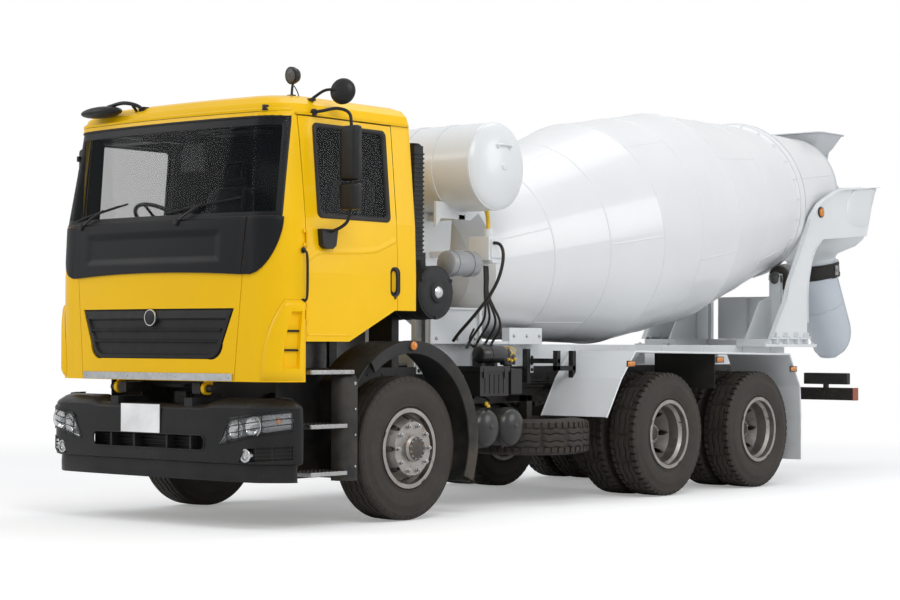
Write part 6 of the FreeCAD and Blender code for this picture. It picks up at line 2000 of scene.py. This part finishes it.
def chute_piece():
    """Tapered trough with rolled edges under a black rubber collar."""
    down = Vector((0, math.cos(math.radians(57)), -math.sin(math.radians(57))))
    opened = Vector((0, math.sin(math.radians(57)), math.cos(math.radians(57))))
    base = LIP + DROP * 130 - down * 90
    band = Part()
    band.lathe([(272, -11), (280, -14), (285, -8), (286, 40), (284, 100), (286, 146), (280, 150),
                (272, 146)], LIP, DROP, 72, closed=True)
    for drop in (14, 120):
        band.lathe([(285, -7), (289, -5), (289, 5), (285, 7)], LIP + DROP * drop, DROP, 72,
                   closed=True)
    band.done("Chute_Band", SEAL, "swing_chute")
    length = 975
    rows, edges = [], ([], [])
    steep = down.dot(DROP)
    for i in range(27):
        t = i / 26
        radius = 286 - 62 * t
        spread = 1.62 if t < 0.7 else 1.62 * math.sqrt(max(1 - ((t - 0.7) / 0.31) ** 2, 0.02))
        centre = base + down * length * t + opened * (20 * t)
        row = []
        for k in range(29):
            a = -spread + 2 * spread * k / 28
            p = (centre - opened * radius * math.cos(a)
                 + Vector((1, 0, 0)) * radius * math.sin(a))
            fall = (p - LIP).dot(DROP)
            row.append(p + down * max(146 - fall, 0) / steep)
        rows.append(row)
        edges[0].append(row[0])
        edges[1].append(row[-1])
    part = Part()
    part.grid(rows, thick=6)
    rolled = edges[0] + rows[-1][1:-1] + edges[1][::-1]
    part.tube(rolled, 8, 8, smooth=False)
    part.tube([p + (p - base).normalized() * 3 for p in rows[11]], 6, 6, smooth=False)
    part.lathe([(274, -13), (274, 152), (282, 152), (282, -13)], LIP, DROP, 72, closed=True)
    part.lathe([(256, -20), (284, -20), (284, -13), (256, -13)], LIP, DROP, 72, closed=True)
    part.done("Chute_Trough", "chute_grey", "swing_chute", angle=50, replaces=("chute",))
    metal_part = Part()
    rear = LIP + DROP * 60 + Vector((0, math.cos(SPOUT), math.sin(SPOUT))) * 284
    metal_part.tube([rear + Vector((0, 0, 56)), rear + Vector((0, 48, 60)),
                     rear + Vector((0, 74, 20)), rear + Vector((0, 70, -50)),
                     rear + Vector((0, 40, -84)), rear + Vector((0, 0, -70))], 9, 10)
    for sx in (-1, 1):
        place = LIP + DROP * 70 + Vector((sx * 284, 0, 0))
        metal_part.box(place.x - 12, place.x + 12, place.y - 30, place.y + 30, place.z - 50,
                       place.z + 50)
        metal_part.bolt(place + Vector((sx * 12, 0, 0)), (sx, 0, 0), 14, 12)
    metal_part.done("Chute_Handles", "bare_steel", "swing_chute", bevel=4)
    part = Part()
    part.box(-64, 64, 7470, 7492, 1490, 1612)
    part.box(-52, 52, 7380, 7500, 1612, 1640)
    part.rod((0, 7430, 1640), (0, 7440, 1760), 22)
    part.rod((0, 7475, 1370), (0, 7475, 1500), 15)
    part.rod((-34, 7475, 1366), (34, 7475, 1366), 13)
    for x in (-46, 46):
        for z in (1510, 1590):
            part.bolt((x, 7492, z), (0, 1, 0), 10, 8)
    part.done("Chute_Bracket", "chassis_black", "chassis", bevel=3)


def drive_end():
    """Gear drive bolts, stand panels and the oil cooler lines behind the cab."""
    part, studs = Part(), Part()
    for sign in (1, -1):
        a, b = sorted((sign * 470, sign * 500))
        part.prism("YZ", [(1010, 1277), (1620, 1277), (1620, 1549), (1590, 1560), (1120, 1560),
                          (1010, 1500)], a, b)
        part.box(*sorted((sign * 430, sign * 520)), 1590, 1624, 1277, 1556)
        part.box(*sorted((sign * 430, sign * 512)), 1630, 2418, 1277, 1300)
        part.box(*sorted((sign * 440, sign * 520)), 1980, 2418, 1277, 1412)
        part.box(*sorted((sign * 300, sign * 520)), 1000, 1640, 1548, 1566)
        part.prism("YZ", [(1000, 1900), (1420, 1900), (1460, 2380), (1420, 2400), (950, 2400),
                          (910, 2360)], sign * 320, sign * 345)
        for y, z in ((1080, 1320), (1330, 1320), (1560, 1320), (1080, 1500), (1560, 1500)):
            studs.bolt((sign * 500, y, z), (sign, 0, 0), 12, 10)
        for y, z in ((2040, 1345), (2210, 1345), (2380, 1345)):
            studs.bolt((sign * 520, y, z), (sign, 0, 0), 11, 9)
        plate = [(880, 2225), (940, 2290), (1300, 2290), (1430, 2372), (1470, 2420), (880, 2420)]
        part.prism("YZ", [(y, z - 40) for y, z in plate], sign * 640, sign * 664)
        part.box(*sorted((sign * 320, sign * 664)), 1150, 1230, 2250, 2290)
    for k in range(20):
        angle = 2 * math.pi * k / 20
        side = Vector((1, 0, 0))
        up = side.cross(ALONG)
        place = FRONT_DISH - ALONG * 380 + side * 198 * math.cos(angle) + up * 198 * math.sin(
            angle)
        studs.bolt(place, -ALONG, 10, 12, False)
    gear = Part()
    for q, r in ((-200, 184), (-232, 186), (-264, 184)):
        gear.lathe([(178, -9), (r, -6), (r, 6), (178, 9)], FRONT_DISH + ALONG * q, ALONG, 56,
                   closed=True)
    gear.tube([FRONT_DISH + Vector((90, -480, -20)), FRONT_DISH + Vector((240, -520, -80)),
               FRONT_DISH + Vector((330, -420, -300)), FRONT_DISH + Vector((350, -200, -560))],
              17, 10)
    gear.done("Drive_Ribs", "drive_grey", "chassis")
    part.done("Stand_Panels", "body_white", "chassis", bevel=3)
    studs.done("Stand_Bolts", "bare_steel", "chassis")


drum_seams()
arms()
collector()
hopper_piece()
chute_piece()
drive_end()


# ------------------------------------------------------------ camera and studio

def studio():
    yaw, pitch, roll = math.radians(39.87), math.radians(0.73), math.radians(0.23)
    ahead = Vector((-math.sin(yaw) * math.cos(pitch), math.cos(yaw) * math.cos(pitch),
                    math.sin(pitch)))
    data = bpy.data.cameras.new("Camera")
    camera = bpy.data.objects.new("Camera", data)
    scene.collection.objects.link(camera)
    camera.location = at(10857, -11143, 1273)
    turn = (-ahead).to_track_quat("Z", "Y")
    camera.rotation_mode = "QUATERNION"
    camera.rotation_quaternion = turn @ Quaternion((0, 0, 1), roll)
    data.lens = 2044 * 36 / 900
    data.sensor_width = 36
    data.shift_x = (450 - 450.9) / 900
    data.shift_y = (318.4 - 300) / 900
    data.clip_end = 500
    scene.camera = camera
    scene.view_settings.view_transform = "Standard"

    world = bpy.data.worlds.new("Studio")
    scene.world = world
    world.use_nodes = True
    nodes, links = world.node_tree.nodes, world.node_tree.links
    paths = nodes.new("ShaderNodeLightPath")
    seen = nodes.new("ShaderNodeMath")
    seen.operation = "MAXIMUM"
    links.new(paths.outputs["Is Camera Ray"], seen.inputs[0])
    links.new(paths.outputs["Is Transmission Ray"], seen.inputs[1])
    soft = nodes["Background"]
    soft.inputs["Color"].default_value = (0.95, 0.97, 1.0, 1.0)
    soft.inputs["Strength"].default_value = 0.55
    white = nodes.new("ShaderNodeBackground")
    white.inputs["Color"].default_value = (1.0, 1.0, 1.0, 1.0)
    white.inputs["Strength"].default_value = 1.0
    glossy = nodes.new("ShaderNodeBackground")
    glossy.inputs["Color"].default_value = (1.0, 1.0, 1.0, 1.0)
    glossy.inputs["Strength"].default_value = 0.8
    first = nodes.new("ShaderNodeMixShader")
    links.new(paths.outputs["Is Glossy Ray"], first.inputs[0])
    links.new(soft.outputs[0], first.inputs[1])
    links.new(glossy.outputs[0], first.inputs[2])
    second = nodes.new("ShaderNodeMixShader")
    links.new(seen.outputs[0], second.inputs[0])
    links.new(first.outputs[0], second.inputs[1])
    links.new(white.outputs[0], second.inputs[2])
    links.new(second.outputs[0], nodes["World Output"].inputs[0])

    floor_mesh = bpy.data.meshes.new("Floor")
    reach = 80.0
    floor_mesh.from_pydata([(-reach, -reach, 0), (reach, -reach, 0), (reach, reach, 0),
                            (-reach, reach, 0)], [], [(0, 1, 2, 3)])
    floor = bpy.data.objects.new("Floor", floor_mesh)
    scene.collection.objects.link(floor)
    floor.location.z = -0.001
    material = bpy.data.materials.new("FloorPale")
    material.use_nodes = True
    nodes, links = material.node_tree.nodes, material.node_tree.links
    base = nodes["Principled BSDF"]
    base.inputs["Base Color"].default_value = (0.88, 0.88, 0.88, 1.0)
    base.inputs["Roughness"].default_value = 0.9
    base.inputs["Specular IOR Level"].default_value = 0.1
    glow = nodes.new("ShaderNodeEmission")
    paths = nodes.new("ShaderNodeLightPath")
    amount = nodes.new("ShaderNodeMath")
    amount.operation = "MULTIPLY"
    amount.inputs[1].default_value = 0.27
    links.new(paths.outputs["Is Camera Ray"], amount.inputs[0])
    links.new(amount.outputs[0], glow.inputs["Strength"])
    added = nodes.new("ShaderNodeAddShader")
    links.new(base.outputs[0], added.inputs[0])
    links.new(glow.outputs[0], added.inputs[1])
    place = nodes.new("ShaderNodeTexCoord")
    away = nodes.new("ShaderNodeVectorMath")
    away.operation = "LENGTH"
    links.new(place.outputs["Object"], away.inputs[0])
    fade = nodes.new("ShaderNodeMapRange")
    fade.interpolation_type = "SMOOTHSTEP"
    fade.inputs["From Min"].default_value = 4.8
    fade.inputs["From Max"].default_value = 11.0
    links.new(away.outputs["Value"], fade.inputs["Value"])
    far = nodes.new("ShaderNodeMath")
    far.operation = "MULTIPLY"
    links.new(fade.outputs["Result"], far.inputs[0])
    links.new(paths.outputs["Is Camera Ray"], far.inputs[1])
    bright = nodes.new("ShaderNodeEmission")
    bright.inputs["Strength"].default_value = 1.0
    whole = nodes.new("ShaderNodeMixShader")
    links.new(far.outputs[0], whole.inputs[0])
    links.new(added.outputs[0], whole.inputs[1])
    links.new(bright.outputs[0], whole.inputs[2])
    links.new(whole.outputs[0], nodes["Material Output"].inputs[0])
    floor_mesh.materials.append(material)

    for name, place, aim, size, power in (
            ("Key", (7.5, -7.0, 8.0), (0.3, -1.0, 1.4), 5.0, 330),
            ("Side", (9.5, 4.0, 5.0), (0.3, 1.0, 1.6), 5.0, 200),
            ("Front", (-5.0, -9.0, 5.0), (0.0, -3.0, 1.3), 4.0, 130),
            ("Top", (0.0, 1.0, 9.5), (0.0, 0.5, 1.0), 7.0, 220)):
        data = bpy.data.lights.new(name, "AREA")
        data.shape = "DISK"
        data.size = size
        data.energy = power
        light = bpy.data.objects.new(name, data)
        scene.collection.objects.link(light)
        light.location = place
        light.rotation_euler = (Vector(place) - Vector(aim)).to_track_quat("Z", "Y").to_euler()


studio()
